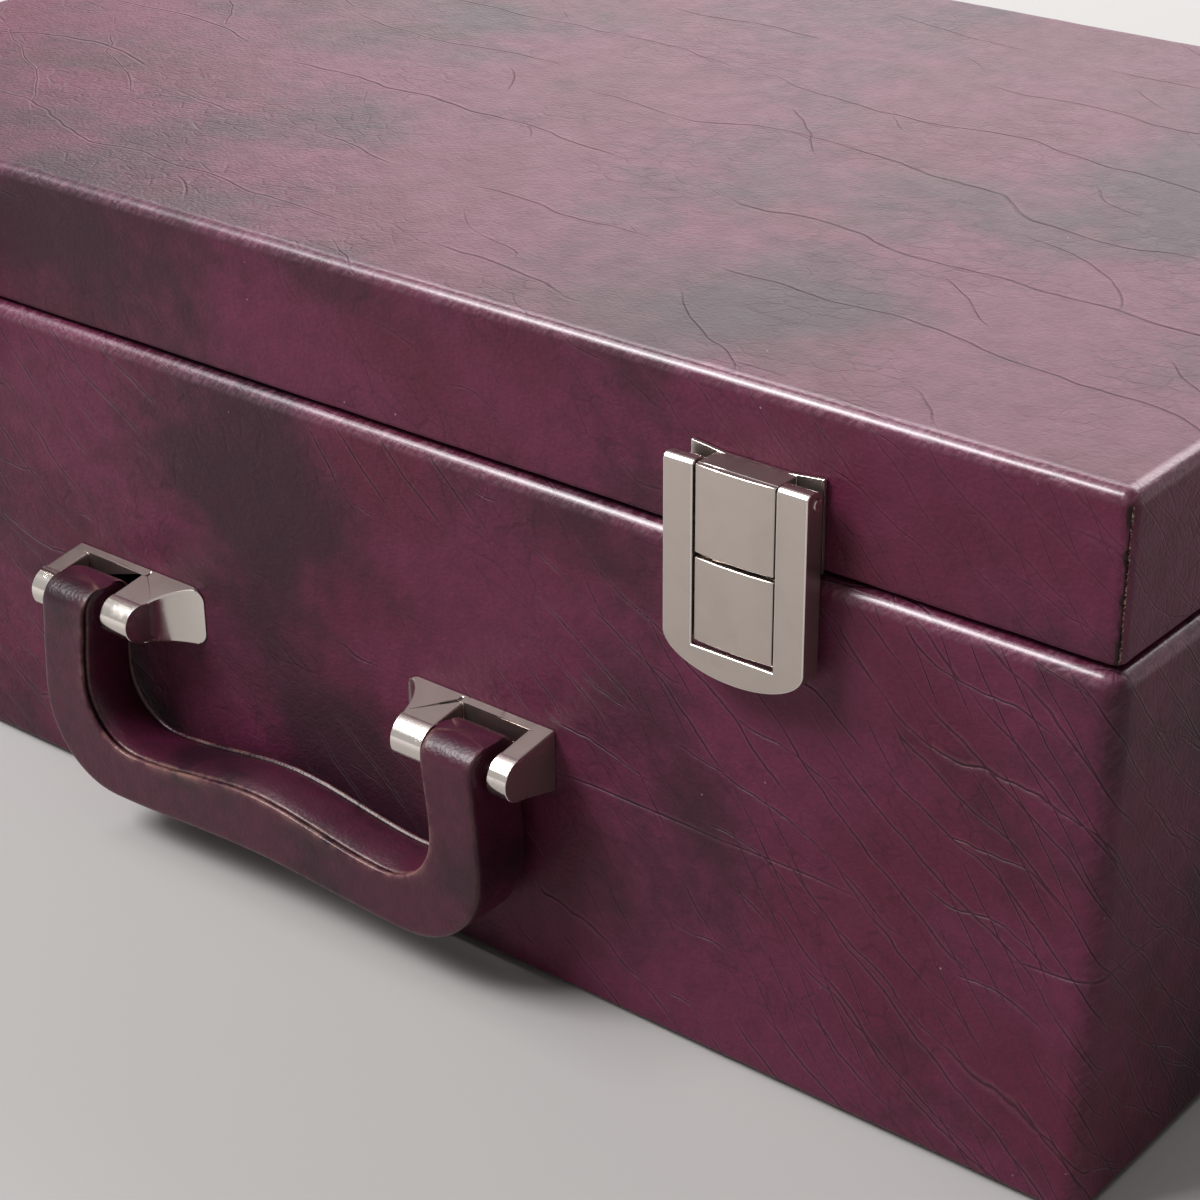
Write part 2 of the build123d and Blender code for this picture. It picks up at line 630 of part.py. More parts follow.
def handle_outline():
    """The handle as seen from the front: two legs and a grip between them."""
    leg_top = -HANDLE_PIN_DROP + LEG_RISE
    inner_turn = -GRIP_TOP_SIDE + GRIP_INNER_RADIUS
    outer_turn = -GRIP_BOTTOM_SIDE + GRIP_OUTER_RADIUS
    bend = 1 - math.sqrt(0.5)
    down = [(0, -1), (0, -1)]
    across = [(1, 0), (1, 0)]
    edges = []
    for side in (-1, 1):
        inner_corner = (side * (LEG_INNER - GRIP_INNER_RADIUS), -GRIP_TOP_SIDE)
        inner_middle = (side * (LEG_INNER - bend * GRIP_INNER_RADIUS),
                        -GRIP_TOP_SIDE + bend * GRIP_INNER_RADIUS)
        outer_corner = (side * (LEG_OUTER - GRIP_OUTER_RADIUS), -GRIP_BOTTOM_SIDE)
        outer_middle = (side * (LEG_OUTER - bend * GRIP_OUTER_RADIUS),
                        -GRIP_BOTTOM_SIDE + bend * GRIP_OUTER_RADIUS)
        edges += [
            Spline((side * LEG_TOP_INNER, leg_top), (side * LEG_INNER, inner_turn), tangents=down),
            ThreePointArc((side * LEG_INNER, inner_turn), inner_middle, inner_corner),
            Line((side * LEG_TOP_INNER, leg_top), (side * LEG_TOP_OUTER, leg_top)),
            Spline((side * LEG_TOP_OUTER, leg_top), (side * LEG_OUTER, outer_turn), tangents=down),
            ThreePointArc((side * LEG_OUTER, outer_turn), outer_middle, outer_corner),
        ]
    inner_x = LEG_INNER - GRIP_INNER_RADIUS
    outer_x = LEG_OUTER - GRIP_OUTER_RADIUS
    edges.append(Spline((-inner_x, -GRIP_TOP_SIDE), (0, -GRIP_TOP_MIDDLE),
                        (inner_x, -GRIP_TOP_SIDE), tangents=across))
    edges.append(Spline((-outer_x, -GRIP_BOTTOM_SIDE), (0, -GRIP_BOTTOM_MIDDLE),
                        (outer_x, -GRIP_BOTTOM_SIDE), tangents=across))
    return make_face(edges)


def handle_side():
    """The handle as seen from the side, rounded over its pin, as a bar along X."""
    top = -HANDLE_PIN_DROP + LEG_RISE
    bar = block(-HALF_WIDTH, HALF_WIDTH, out(HANDLE_FACE), out(HANDLE_BACK), -BODY_HEIGHT, top)
    return fillet(bar.faces().sort_by(Axis.Z)[-1].edges().filter_by(Axis.X), LEG_TOP_RADIUS)


def handle_cover():
    """The moulded leather cover over the core and the eyes."""
    cover = extrude(Plane.XZ.offset(HANDLE_BACK) * handle_outline(),
                    amount=HANDLE_FACE - HANDLE_BACK)
    cover = fillet(outer_handle_edges(cover), GRIP_EDGE)
    cover = fillet(inner_handle_edges(cover), GRIP_INNER_EDGE)
    cover &= handle_side()
    for side in (-1, 1):
        cover -= eye_rod(side, EYE_RADIUS)
        cover -= in_arm_gap(side, HANDLE_PIN_RADIUS + RUNNING_FIT)
    return cover - core_bar()


def handle_flat_edges(cover):
    """The edges of the handle's front and back faces."""
    faces = cover.faces().filter_by(Axis.Y).sort_by(Axis.Y)
    return faces[0].edges() + faces[-1].edges()


def outer_handle_edges(cover):
    """The edges along the outside of the handle, without the tops of its legs."""
    return ShapeList(edge for edge in handle_flat_edges(cover)
                     if is_outer(edge) and not is_leg_top(edge))


def inner_handle_edges(cover):
    """The edges along the inside of the handle."""
    return ShapeList(edge for edge in handle_flat_edges(cover)
                     if not is_outer(edge) and not is_leg_top(edge))


def is_leg_top(edge):
    """Whether an edge lies at the top of a leg."""
    return edge.bounding_box().min.Z > -HANDLE_PIN_DROP


def is_outer(edge):
    """Whether the middle of an edge lies on the outside of the handle."""
    middle = edge.position_at(0.5)
    in_leg = abs(middle.X) > (LEG_INNER + LEG_OUTER) / 2
    under = middle.Z < -(GRIP_TOP_SIDE + GRIP_BOTTOM_MIDDLE) / 2
    return in_leg or under


def core_bar():
    """The steel core: a flat bar along the grip, turned up into each leg to its eye."""
    bar_top = -CORE_DROP + CORE_WIDTH
    half = LEG_MIDDLE + CORE_WIDTH / 2
    bar = block(-half, half, out(CORE_FACE), out(CORE_BACK), -CORE_DROP, bar_top)
    for side in (-1, 1):
        edges = sorted((side * half, side * (half - CORE_WIDTH)))
        bar += block(*edges, out(CORE_FACE), out(CORE_BACK), bar_top, -HANDLE_PIN_DROP)
        bar -= eye_rod(side, EYE_RADIUS)
    return bar


def eye_rod(side, radius):
    """A rod along a leg's eye."""
    edges = sorted((side * LEG_TOP_INNER, side * LEG_TOP_OUTER))
    return rod_x(*edges, out(HANDLE_PIN_OUT), -HANDLE_PIN_DROP, radius)


def in_arm_gap(side, radius):
    """A rod about a handle pin's axis, across the gap between a bracket's arms."""
    edges = sorted((side * BRACKET_ARM_GAP_INNER, side * BRACKET_ARM_GAP_OUTER))
    return rod_x(*edges, out(HANDLE_PIN_OUT), -HANDLE_PIN_DROP, radius)


def handle_eye(side):
    """The tube in the top of a leg that turns on the pin."""
    return eye_rod(side, EYE_RADIUS) - eye_rod(side, HANDLE_PIN_RADIUS + RUNNING_FIT)


def handle_pin(side):
    """A pin from the outer arm of a bracket into its inner arm."""
    inner = BRACKET_ARM_GAP_INNER - PIN_SOCKET
    edges = sorted((side * inner, side * BRACKET_OUTER))
    return rod_x(*edges, out(HANDLE_PIN_OUT), -HANDLE_PIN_DROP, HANDLE_PIN_RADIUS)


def bracket_plan():
    """The right bracket as seen from above, with out from the wall as the second direction."""
    foot = (BRACKET_INNER, 0)
    tip = (BRACKET_TIP_INNER, BRACKET_REACH)
    return make_face([
        Line(foot, (BRACKET_OUTER, 0)),
        Line((BRACKET_OUTER, 0), (BRACKET_OUTER, BRACKET_REACH)),
        Line((BRACKET_OUTER, BRACKET_REACH), (BRACKET_ARM_GAP_OUTER, BRACKET_REACH)),
        Line((BRACKET_ARM_GAP_OUTER, BRACKET_REACH), (BRACKET_ARM_GAP_OUTER, BRACKET_PLATE)),
        Line((BRACKET_ARM_GAP_OUTER, BRACKET_PLATE), (BRACKET_ARM_GAP_INNER, BRACKET_PLATE)),
        Line((BRACKET_ARM_GAP_INNER, BRACKET_PLATE), (BRACKET_ARM_GAP_INNER, BRACKET_REACH)),
        Line((BRACKET_ARM_GAP_INNER, BRACKET_REACH), tip),
        Spline(tip, foot, tangents=[(-BRACKET_TIP_LEAN, -1), (-1, -BRACKET_FOOT_LEAN)]),
    ])


def bracket_side():
    """The bracket as seen from the side: it tapers to a round end about the pin."""
    tip_centre = BRACKET_REACH - BRACKET_TIP_RADIUS
    top, bottom = -BRACKET_TOP, -BRACKET_TOP - BRACKET_DEPTH
    round_end = Pos(-tip_centre, -HANDLE_PIN_DROP) * Circle(BRACKET_TIP_RADIUS)
    taper = make_face(Polyline(
        (0, top), (-tip_centre, -HANDLE_PIN_DROP + BRACKET_TIP_RADIUS),
        (-tip_centre, -HANDLE_PIN_DROP - BRACKET_TIP_RADIUS), (0, bottom), close=True))
    profile = Plane.YZ * (taper + round_end)
    return extrude(profile, amount=HALF_WIDTH) + extrude(profile, amount=-HALF_WIDTH)


def bracket():
    """The right bracket: a flared foot, a back plate and two arms round a leg."""
    plan = Pos(0, 0, -BODY_HEIGHT) * bracket_plan()
    solid = mirror(extrude(plan, amount=BODY_HEIGHT), about=Plane.XZ) & bracket_side()
    solid = fillet(solid.edges().filter_by(is_arm_edge), BRACKET_EDGE)
    slit_x = BRACKET_ARM_GAP_INNER - BRACKET_SLIT_INSET
    solid -= block(slit_x, slit_x + BRACKET_SLIT, out(BRACKET_PLATE), out(BRACKET_SLIT),
                   -BRACKET_TOP - BRACKET_PLATE, 0)
    for x in STUD_POSITIONS:
        solid -= rod_y(x, out(BRACKET_PLATE), CUT, -HANDLE_PIN_DROP, STUD_RADIUS)
    return solid - handle_pin(1)


def is_arm_edge(edge):
    """Whether an edge is one of the long edges along the top or the bottom of an arm."""
    box = edge.bounding_box()
    return box.max.Y - box.min.Y > BRACKET_REACH / 3


def studs(side):
    """The two studs that hold a bracket, peened inside the front board."""
    length = BRACKET_PLATE + LEATHER + WALL
    solids = []
    for x in STUD_POSITIONS:
        shank = rod_y(side * x, out(BRACKET_PLATE), LEATHER + WALL, -HANDLE_PIN_DROP, STUD_RADIUS)
        head = rod_y(side * x, out(BRACKET_PLATE - length + PEENED_HEAD),
                     out(BRACKET_PLATE - length), -HANDLE_PIN_DROP, STUD_HEAD_RADIUS)
        solids.append(shank + head)
    return solids


def in_handle_frame(shape):
    """Moves a shape from the handle's own frame to the front of the body."""
    return Pos(0, FRONT, BODY_HEIGHT) * shape


# Hinges


def hinge_cylinder(x0, x1, radius):
    """A rod about the hinge's axis."""
    return rod_x(x0, x1, HINGE_Y, HINGE_Z, radius)


def hinge_leaf(sign):
    """A leaf of a hinge at X = 0: the body's (-1, two knuckles) or the lid's (1, one knuckle)."""
    half = HINGE_LENGTH / 2
    middle = HINGE_KNUCKLE / 2
    near = HINGE_Z + sign * HINGE_LEAF_PLAY / 2
    z0, z1 = sorted((near, near + sign * HINGE_LEAF))
    leaf = block(-half, half, HALF_DEPTH - HINGE_LEAF_REACH, HINGE_Y, z0, z1)
    stop = block(-half, half, HINGE_Y + HINGE_STOP_START, HINGE_Y + HINGE_STOP_REACH, HINGE_Z,
                 HINGE_Z + HINGE_LEAF)
    about = Axis((0, HINGE_Y, HINGE_Z), (1, 0, 0))
    if sign < 0:
        stop = mirror(stop, about=Plane.XY.offset(HINGE_Z))
    leaf += stop.rotate(about, sign * HINGE_STOP)
    if sign < 0:
        own = [(-half, -middle - HINGE_PLAY), (middle + HINGE_PLAY, half)]
        other = [(-middle - HINGE_PLAY, middle + HINGE_PLAY)]
    else:
        own = [(-middle, middle)]
        other = [(-half - CUT, -middle), (middle, half + CUT)]
    for x0, x1 in other:
        leaf -= hinge_cylinder(x0, x1, HINGE_BARREL + HINGE_PLAY)
    for x0, x1 in own:
        leaf += hinge_cylinder(x0, x1, HINGE_BARREL)
    leaf -= hinge_cylinder(-half - CUT, half + CUT, HINGE_PIN + RUNNING_FIT)
    for screw_x in (-SCREW_SPREAD, SCREW_SPREAD):
        leaf -= hinge_screw_solid(screw_x, sign, 0)
    return leaf


def hinge_pin():
    """The pin of a hinge."""
    half = HINGE_LENGTH / 2
    return hinge_cylinder(-half, half, HINGE_PIN)


def hinge_screw_solid(x, sign, clearance):
    """The outline of a countersunk screw with its head in the seam, body's (-1) or lid's (1)."""
    head_height = SCREW_HEAD_RADIUS - SCREW_RADIUS
    shank = SCREW_LENGTH - head_height - SCREW_RADIUS
    radius = SCREW_RADIUS + clearance
    solid = Pos(0, 0, -head_height / 2) * Cone(radius, SCREW_HEAD_RADIUS + clearance, head_height)
    solid += Pos(0, 0, -head_height - shank / 2) * Cylinder(radius, shank)
    solid += Pos(0, 0, -SCREW_LENGTH + SCREW_RADIUS / 2) * Cone(SCREW_RADIUS / 4, radius,
                                                               SCREW_RADIUS)
    if sign > 0:
        solid = mirror(solid, about=Plane.XY)
    screw_y = HALF_DEPTH - LEATHER - WALL / 2
    return Pos(x, screw_y, HINGE_Z + sign * HINGE_LEAF_PLAY / 2) * solid


def hinge_screw(x, sign):
    """A countersunk screw with a slot across its head."""
    solid = hinge_screw_solid(x, sign, 0)
    slot_z = HINGE_Z + sign * HINGE_LEAF_PLAY / 2
    reach = SCREW_HEAD_RADIUS
    slot = block(x - reach, x + reach, 0, SCREW_SLOT, -SCREW_SLOT, SCREW_SLOT)
    screw_y = HALF_DEPTH - LEATHER - WALL / 2
    return solid - Pos(0, screw_y - SCREW_SLOT / 2, slot_z) * slot


def hinge_pocket(sign):
    """The room for a leaf in the cover, with the holes of its screws."""
    half = HINGE_LENGTH / 2 + HINGE_PLAY
    near = HINGE_Z - sign * CUT
    z0, z1 = sorted((near, HINGE_Z + sign * (HINGE_LEAF_PLAY / 2 + HINGE_LEAF)))
    pocket = block(-half, half, HALF_DEPTH - HINGE_LEAF_REACH, HINGE_Y, z0, z1)
    for screw_x in (-SCREW_SPREAD, SCREW_SPREAD):
        pocket += hinge_screw_solid(screw_x, sign, 0)
    return pocket


def at_hinges(shape):
    """A shape at each hinge."""
    return [Pos(side * HINGE_OFFSET, 0, 0) * shape for side in (-1, 1)]


def case_parts():
    """Every sub-part under its name."""
    stud_holes = []
    for side in (-1, 1):
        stud_holes += [in_handle_frame(solid) for solid in studs(side)]
    body_holes = group(body_rivet_holes() + stud_holes + at_hinges(hinge_pocket(-1)))
    lid_holes = group(lid_rivet_holes() + at_hinges(hinge_pocket(1)))
    parts = {
        "base_sheet": base_sheet(),
        "base_filler": under_opening(BASE_SHEET, CARCASS_BOTTOM),
        "body_leather": body_leather(body_holes),
        "lower_card": block(-LINED_HALF_WIDTH, LINED_HALF_WIDTH, -LINED_HALF_DEPTH,
                            LINED_HALF_DEPTH, BOARD_FLOOR, LOWER_FLOOR),
        "lower_dividers": lower_dividers(),
        "tray_rests": tray_rests(),
        "lid_leather": lid_leather(lid_holes),
        "lid_rail_lining": rail_lining(),
        "lid_pad": lid_pad(),
        "lid_rivets": group(lid_rivets(-1) + lid_rivets(1)),
        "catch_rivets": group(body_rivets(-1) + body_rivets(1)),
        "bracket_studs": group(in_handle_frame(solid) for solid in studs(-1) + studs(1)),
        "bracket_right": in_handle_frame(bracket()),
        "bracket_left": in_handle_frame(mirror(bracket(), about=Plane.YZ)),
        "handle_pins": group(in_handle_frame(handle_pin(side)) for side in (-1, 1)),
        "handle_cover": in_handle_frame(handle_cover()),
        "handle_core": in_handle_frame(core_bar()),
        "handle_eyes": group(in_handle_frame(handle_eye(side)) for side in (-1, 1)),
        "hinge_body_screws": group(
            at_hinges(hinge_screw(-SCREW_SPREAD, -1)) + at_hinges(hinge_screw(SCREW_SPREAD, -1))),
        "hinge_lid_screws": group(
            at_hinges(hinge_screw(-SCREW_SPREAD, 1)) + at_hinges(hinge_screw(SCREW_SPREAD, 1))),
    }
    parts.update(body_boards(body_holes))
    parts.update(liners())
    parts.update(tray_parts())
    parts.update(lid_boards(lid_holes))
    for side, word in ((-1, "left"), (1, "right")):
        parts["hasp_" + word] = in_latch_frame(hasp(), side)
        parts["hasp_pin_" + word] = in_latch_frame(hasp_pin(), side)
        parts["lid_plate_" + word] = in_latch_frame(lid_plate(), side)
        parts["catch_plate_" + word] = in_latch_frame(catch_plate(), side)
        parts["catch_spring_" + word] = in_latch_frame(catch_spring(), side)
        place = Pos(side * HINGE_OFFSET, 0, 0)
        parts["hinge_body_leaf_" + word] = place * hinge_leaf(-1)
        parts["hinge_lid_leaf_" + word] = place * hinge_leaf(1)
        parts["hinge_pin_" + word] = place * hinge_pin()
    return parts


def main():
    """Builds every sub-part and writes it to parts/."""
    os.makedirs("parts", exist_ok=True)
    parts = case_parts()
    for name, shape in parts.items():
        export_step(shape, "parts/" + name + ".step")
        print(name, len(shape.solids()), round(shape.volume, 1))
    print(len(parts), "sub-parts")


main()
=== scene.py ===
"""The looks of a leather-covered storage case for chess pieces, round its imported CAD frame.

Metres, in the frame of the CAD: +X is to the right as seen from the front, +Y to the back and
+Z up. The origin is the middle of the underside. Sizes of finishes are in millimetres.
"""

import json
import logging
import math
from contextlib import contextmanager
from dataclasses import dataclass, field
from enum import Enum
from typing import Callable, Iterable, Iterator, Mapping, Optional, Sequence, Union

import bmesh
import bpy
from mathutils import Matrix, Vector
from mathutils.bvhtree import BVHTree


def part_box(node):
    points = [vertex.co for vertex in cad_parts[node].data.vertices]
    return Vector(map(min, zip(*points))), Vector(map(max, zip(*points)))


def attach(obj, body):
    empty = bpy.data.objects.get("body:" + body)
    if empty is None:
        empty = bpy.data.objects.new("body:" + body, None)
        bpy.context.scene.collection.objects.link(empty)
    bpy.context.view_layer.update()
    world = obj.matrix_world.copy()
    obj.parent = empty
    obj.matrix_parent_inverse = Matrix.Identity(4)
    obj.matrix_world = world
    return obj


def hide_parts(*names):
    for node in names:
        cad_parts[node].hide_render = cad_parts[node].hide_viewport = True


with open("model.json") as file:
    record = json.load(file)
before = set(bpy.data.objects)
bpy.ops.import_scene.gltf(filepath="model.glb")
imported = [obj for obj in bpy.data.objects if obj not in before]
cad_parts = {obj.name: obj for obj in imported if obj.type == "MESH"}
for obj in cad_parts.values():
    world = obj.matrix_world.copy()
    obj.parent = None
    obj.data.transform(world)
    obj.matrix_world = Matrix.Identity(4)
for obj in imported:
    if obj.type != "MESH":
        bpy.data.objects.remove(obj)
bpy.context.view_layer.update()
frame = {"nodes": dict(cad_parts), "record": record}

LOG = logging.getLogger("case")
MM = 0.001
# Y of the front of the case, the height of its seam, and a difference that counts as none
FRONT = -132.5 * MM
SEAM = 124.0 * MM
HAIR = 0.01 * MM

Piece = bpy.types.Object
Material = bpy.types.Material
Colour = tuple[float, float, float]
Number = Union["Signal", float]
Value = Union["Signal", float, Sequence[float]]


class Body(Enum):
    """The moving bodies of the CAD."""

    CASE = "case"
    LID = "lid"
    HANDLE = "handle"
    TRAY = "tray"
    HASP_LEFT = "hasp_left"
    HASP_RIGHT = "hasp_right"


class Slot(Enum):
    """The record's material slots."""

    CASE_LEATHER = "case_leather"
    HANDLE_LEATHER = "handle_leather"
    NICKEL = "nickel"
    STEEL = "steel"
    SPRING_STEEL = "spring_steel"
    BOARD = "board"
    CARD = "card"
    VELVET = "velvet"
    RIBBON = "ribbon"
    BASE_FELT = "base_felt"


class Pick(Enum):
    """What an edit-mode selection is made of."""

    VERTICES = "VERT"
    EDGES = "EDGE"
    FACES = "FACE"


class Side(Enum):
    """The left or the right of the case, as the sign of X."""

    LEFT = -1
    RIGHT = 1


def paint(red: int, green: int, blue: int) -> Colour:
    """A colour as a paint chart gives it, from 0 to 255, made linear."""
    shares = (red / 255, green / 255, blue / 255)
    return tuple(s / 12.92 if s <= 0.04045 else ((s + 0.055) / 1.055) ** 2.4 for s in shares)


class Signal:
    """A shader socket with arithmetic: each operator adds one Math node."""

    def __init__(self, graph: "Graph", socket: Optional[bpy.types.NodeSocket]) -> None:
        """Keeps the graph that the socket is in."""
        self.graph = graph
        self.socket = socket

    def part(self, name: str) -> "Signal":
        """Another output of the same node."""
        return Signal(self.graph, self.socket.node.outputs[name])

    def __add__(self, other: Number) -> "Signal":
        """The sum."""
        return self.graph.maths("ADD", self, other)

    def __radd__(self, other: Number) -> "Signal":
        """The sum, with the number first."""
        return self.graph.maths("ADD", other, self)

    def __sub__(self, other: Number) -> "Signal":
        """The difference."""
        return self.graph.maths("SUBTRACT", self, other)

    def __mul__(self, other: Number) -> "Signal":
        """The product."""
        return self.graph.maths("MULTIPLY", self, other)

    def __rmul__(self, other: Number) -> "Signal":
        """The product, with the number first."""
        return self.graph.maths("MULTIPLY", other, self)

    def __abs__(self) -> "Signal":
        """The size without its sign."""
        return self.graph.maths("ABSOLUTE", self)

    def most(self, other: Number) -> "Signal":
        """The larger of the two."""
        return self.graph.maths("MAXIMUM", self, other)

    def least(self, other: Number) -> "Signal":
        """The smaller of the two."""
        return self.graph.maths("MINIMUM", self, other)

    def fade(self, start: float, end: float) -> "Signal":
        """A smooth step from 0 at start to 1 at end, where start may be the larger.

        Args:
            start: the value where the step is 0.
            end: the value where the step is 1.

        Returns:
            The step.
        """
        settings = {"interpolation_type": "SMOOTHSTEP"}
        sockets = {"Value": self, "From Min": start, "From Max": end}
        return self.graph.node("ShaderNodeMapRange", settings, sockets)


class Graph:
    """The nodes of one material, with places in millimetres."""

    def __init__(self, tree: bpy.types.NodeTree) -> None:
        """Empties the tree.

        Args:
            tree: the node tree of a material or a world.
        """
        self.tree = tree
        self.tree.nodes.clear()

    def node(self, kind: str, settings: Optional[Mapping[str, object]] = None,
             sockets: Optional[Mapping[Union[str, int], Value]] = None,
             output: Union[str, int] = 0) -> Signal:
        """Adds a node.

        Args:
            kind: the node's type.
            settings: its own settings, which are set first.
            sockets: values or links for its inputs, by name or number.
            output: the output that the signal carries.

        Returns:
            The signal of that output.
        """
        made = self.tree.nodes.new(kind)
        for name, value in (settings or {}).items():
            setattr(made, name, value)
        for name, value in (sockets or {}).items():
            self._feed(made.inputs[name], value)
        return Signal(self, made.outputs[output] if len(made.outputs) else None)

    def _feed(self, socket: bpy.types.NodeSocket, value: Value) -> None:
        """Links a signal to a socket, or writes a value on it.

        Args:
            socket: an input.
            value: what it is given.
        """
        if isinstance(value, Signal):
            self.tree.links.new(value.socket, socket)
        elif isinstance(value, (int, float)):
            socket.default_value = value
        else:
            spare = len(socket.default_value) - len(value)
            socket.default_value = (*value, *([1.0] * spare))

    def maths(self, operation: str, *values: Number) -> Signal:
        """A Math node on up to three numbers."""
        return self.node("ShaderNodeMath", {"operation": operation}, dict(enumerate(values)))

    def vector(self, operation: str, *values: Value) -> Signal:
        """A Vector Math node on up to three vectors."""
        return self.node("ShaderNodeVectorMath", {"operation": operation},
                         dict(enumerate(values)))

    def mix(self, share: Number, first: Value, second: Value, mode: str = "MIX") -> Signal:
        """Two colours mixed.

        Args:
            share: how much of the second colour.
            first: the colour at 0.
            second: the colour at 1.
            mode: how the second colour goes on the first.

        Returns:
            The mixed colour.
        """
        settings = {"data_type": "RGBA", "blend_type": mode}
        return self.node("ShaderNodeMix", settings, {0: share, 6: first, 7: second}, output=2)

    def place(self) -> Signal:
        """The point on the piece, in millimetres."""
        spot = self.node("ShaderNodeTexCoord", output="Object")
        return self.vector("MULTIPLY", spot, (1 / MM, 1 / MM, 1 / MM))

    def laid(self, place: Signal, turn: Sequence[float], stretch: Sequence[float],
             shift: Sequence[float] = (0, 0, 0)) -> Signal:
        """Places in a pattern that is turned and stretched.

        Args:
            place: the point in millimetres.
            turn: how the pattern is turned about X, Y and Z, in degrees.
            stretch: the pattern's size along its own X, Y and Z, in millimetres.
            shift: where the pattern starts, in millimetres.

        Returns:
            The point in the pattern's own units.
        """
        sockets = {"Vector": place, "Location": shift,
                   "Rotation": [math.radians(angle) for angle in turn], "Scale": stretch}
        return self.node("ShaderNodeMapping", {"vector_type": "TEXTURE"}, sockets)

    def noise(self, place: Signal, size: float = 1.0, detail: float = 2.0,
              roughness: float = 0.5, distortion: float = 0.0,
              output: Union[str, int] = 0) -> Signal:
        """Soft noise, from 0 to 1 about 0.5.

        Args:
            place: the point.
            size: the size of its clouds, in the point's units.
            detail: how many finer layers it has.
            roughness: how strong they are.
            distortion: how far its places are pushed about.
            output: 0 for the number, 1 for the colour.

        Returns:
            The noise.
        """
        sockets = {"Vector": place, "Scale": 1 / size, "Detail": detail,
                   "Roughness": roughness, "Distortion": distortion}
        return self.node("ShaderNodeTexNoise", None, sockets, output)

    def cells(self, place: Signal, size: float = 1.0, feature: str = "F1") -> Signal:
        """Voronoi cells.

        Args:
            place: the point.
            size: the size of the cells, in the point's units.
            feature: F1 for the distance to a cell's middle, or DISTANCE_TO_EDGE.

        Returns:
            That distance.
        """
        sockets = {"Vector": place, "Scale": 1 / size}
        return self.node("ShaderNodeTexVoronoi", {"feature": feature}, sockets)

    def pushed(self, place: Signal, size: float, reach: float) -> Signal:
        """Places pushed about by noise.

        Args:
            place: the point.
            size: the size of the noise's clouds.
            reach: how far a point may be pushed.

        Returns:
            The pushed point.
        """
        push = self.vector("SUBTRACT", self.noise(place, size, output=1), (0.5, 0.5, 0.5))
        return self.vector("MULTIPLY_ADD", push, (2 * reach,) * 3, place)

    def bump(self, height: Signal) -> Signal:
        """A surface normal for a height in millimetres."""
        return self.node("ShaderNodeBump", None,
                         {"Height": height, "Distance": MM, "Strength": 1.0})

    def parts(self, place: Signal) -> Signal:
        """The three numbers of a place, with X as the signal and Y and Z as its parts."""
        return self.node("ShaderNodeSeparateXYZ", None, {"Vector": place})

    def surface(self, **sockets: Value) -> None:
        """Ends the graph in a Principled BSDF.

        Args:
            sockets: its inputs, with underscores in place of spaces.
        """
        named = {name.replace("_", " "): value for name, value in sockets.items()}
        shader = self.node("ShaderNodeBsdfPrincipled", None, named)
        self.node("ShaderNodeOutputMaterial", None, {"Surface": shader})


@dataclass(frozen=True)
class Finish:
    """A material made from nodes, made once and then shared.

    Attributes:
        name: the finish's name, which its material's name starts with.
    """

    name: str

    def material(self) -> Material:
        """The material, wired on its first use.

        Returns:
            The material.
        """
        label = self.name + "_finish"
        found = bpy.data.materials.get(label)
        if found is None:
            found = bpy.data.materials.new(label)
            found.use_nodes = True
            self.wire(Graph(found.node_tree))
        return found

    def wire(self, graph: Graph) -> None:
        """Builds the nodes."""
        raise NotImplementedError


@dataclass(frozen=True)
class Folds:
    """A family of long creases that run about the same way.

    Attributes:
        across: the direction across them.
        spacing: about how far apart they are, in millimetres.
        wander: how far they wander.
        shift: where their patterns start.
        cover: the share of noise above which they show.
        on_faces: how deep they are on the upright faces.
        on_top: how deep they are on the top.
        width: how wide they are, where 1 is a valley of 0.6 mm.
        reach: the size of the patches that they show in, in millimetres.
        crooked: how many finer layers their wandering has.
    """

    across: tuple[float, float, float]
    spacing: float
    wander: float
    shift: tuple[float, float, float]
    cover: float
    on_faces: float = 1.0
    on_top: float = 0.0
    width: float = 1.0
    reach: float = 30.0
    crooked: float = 4.5


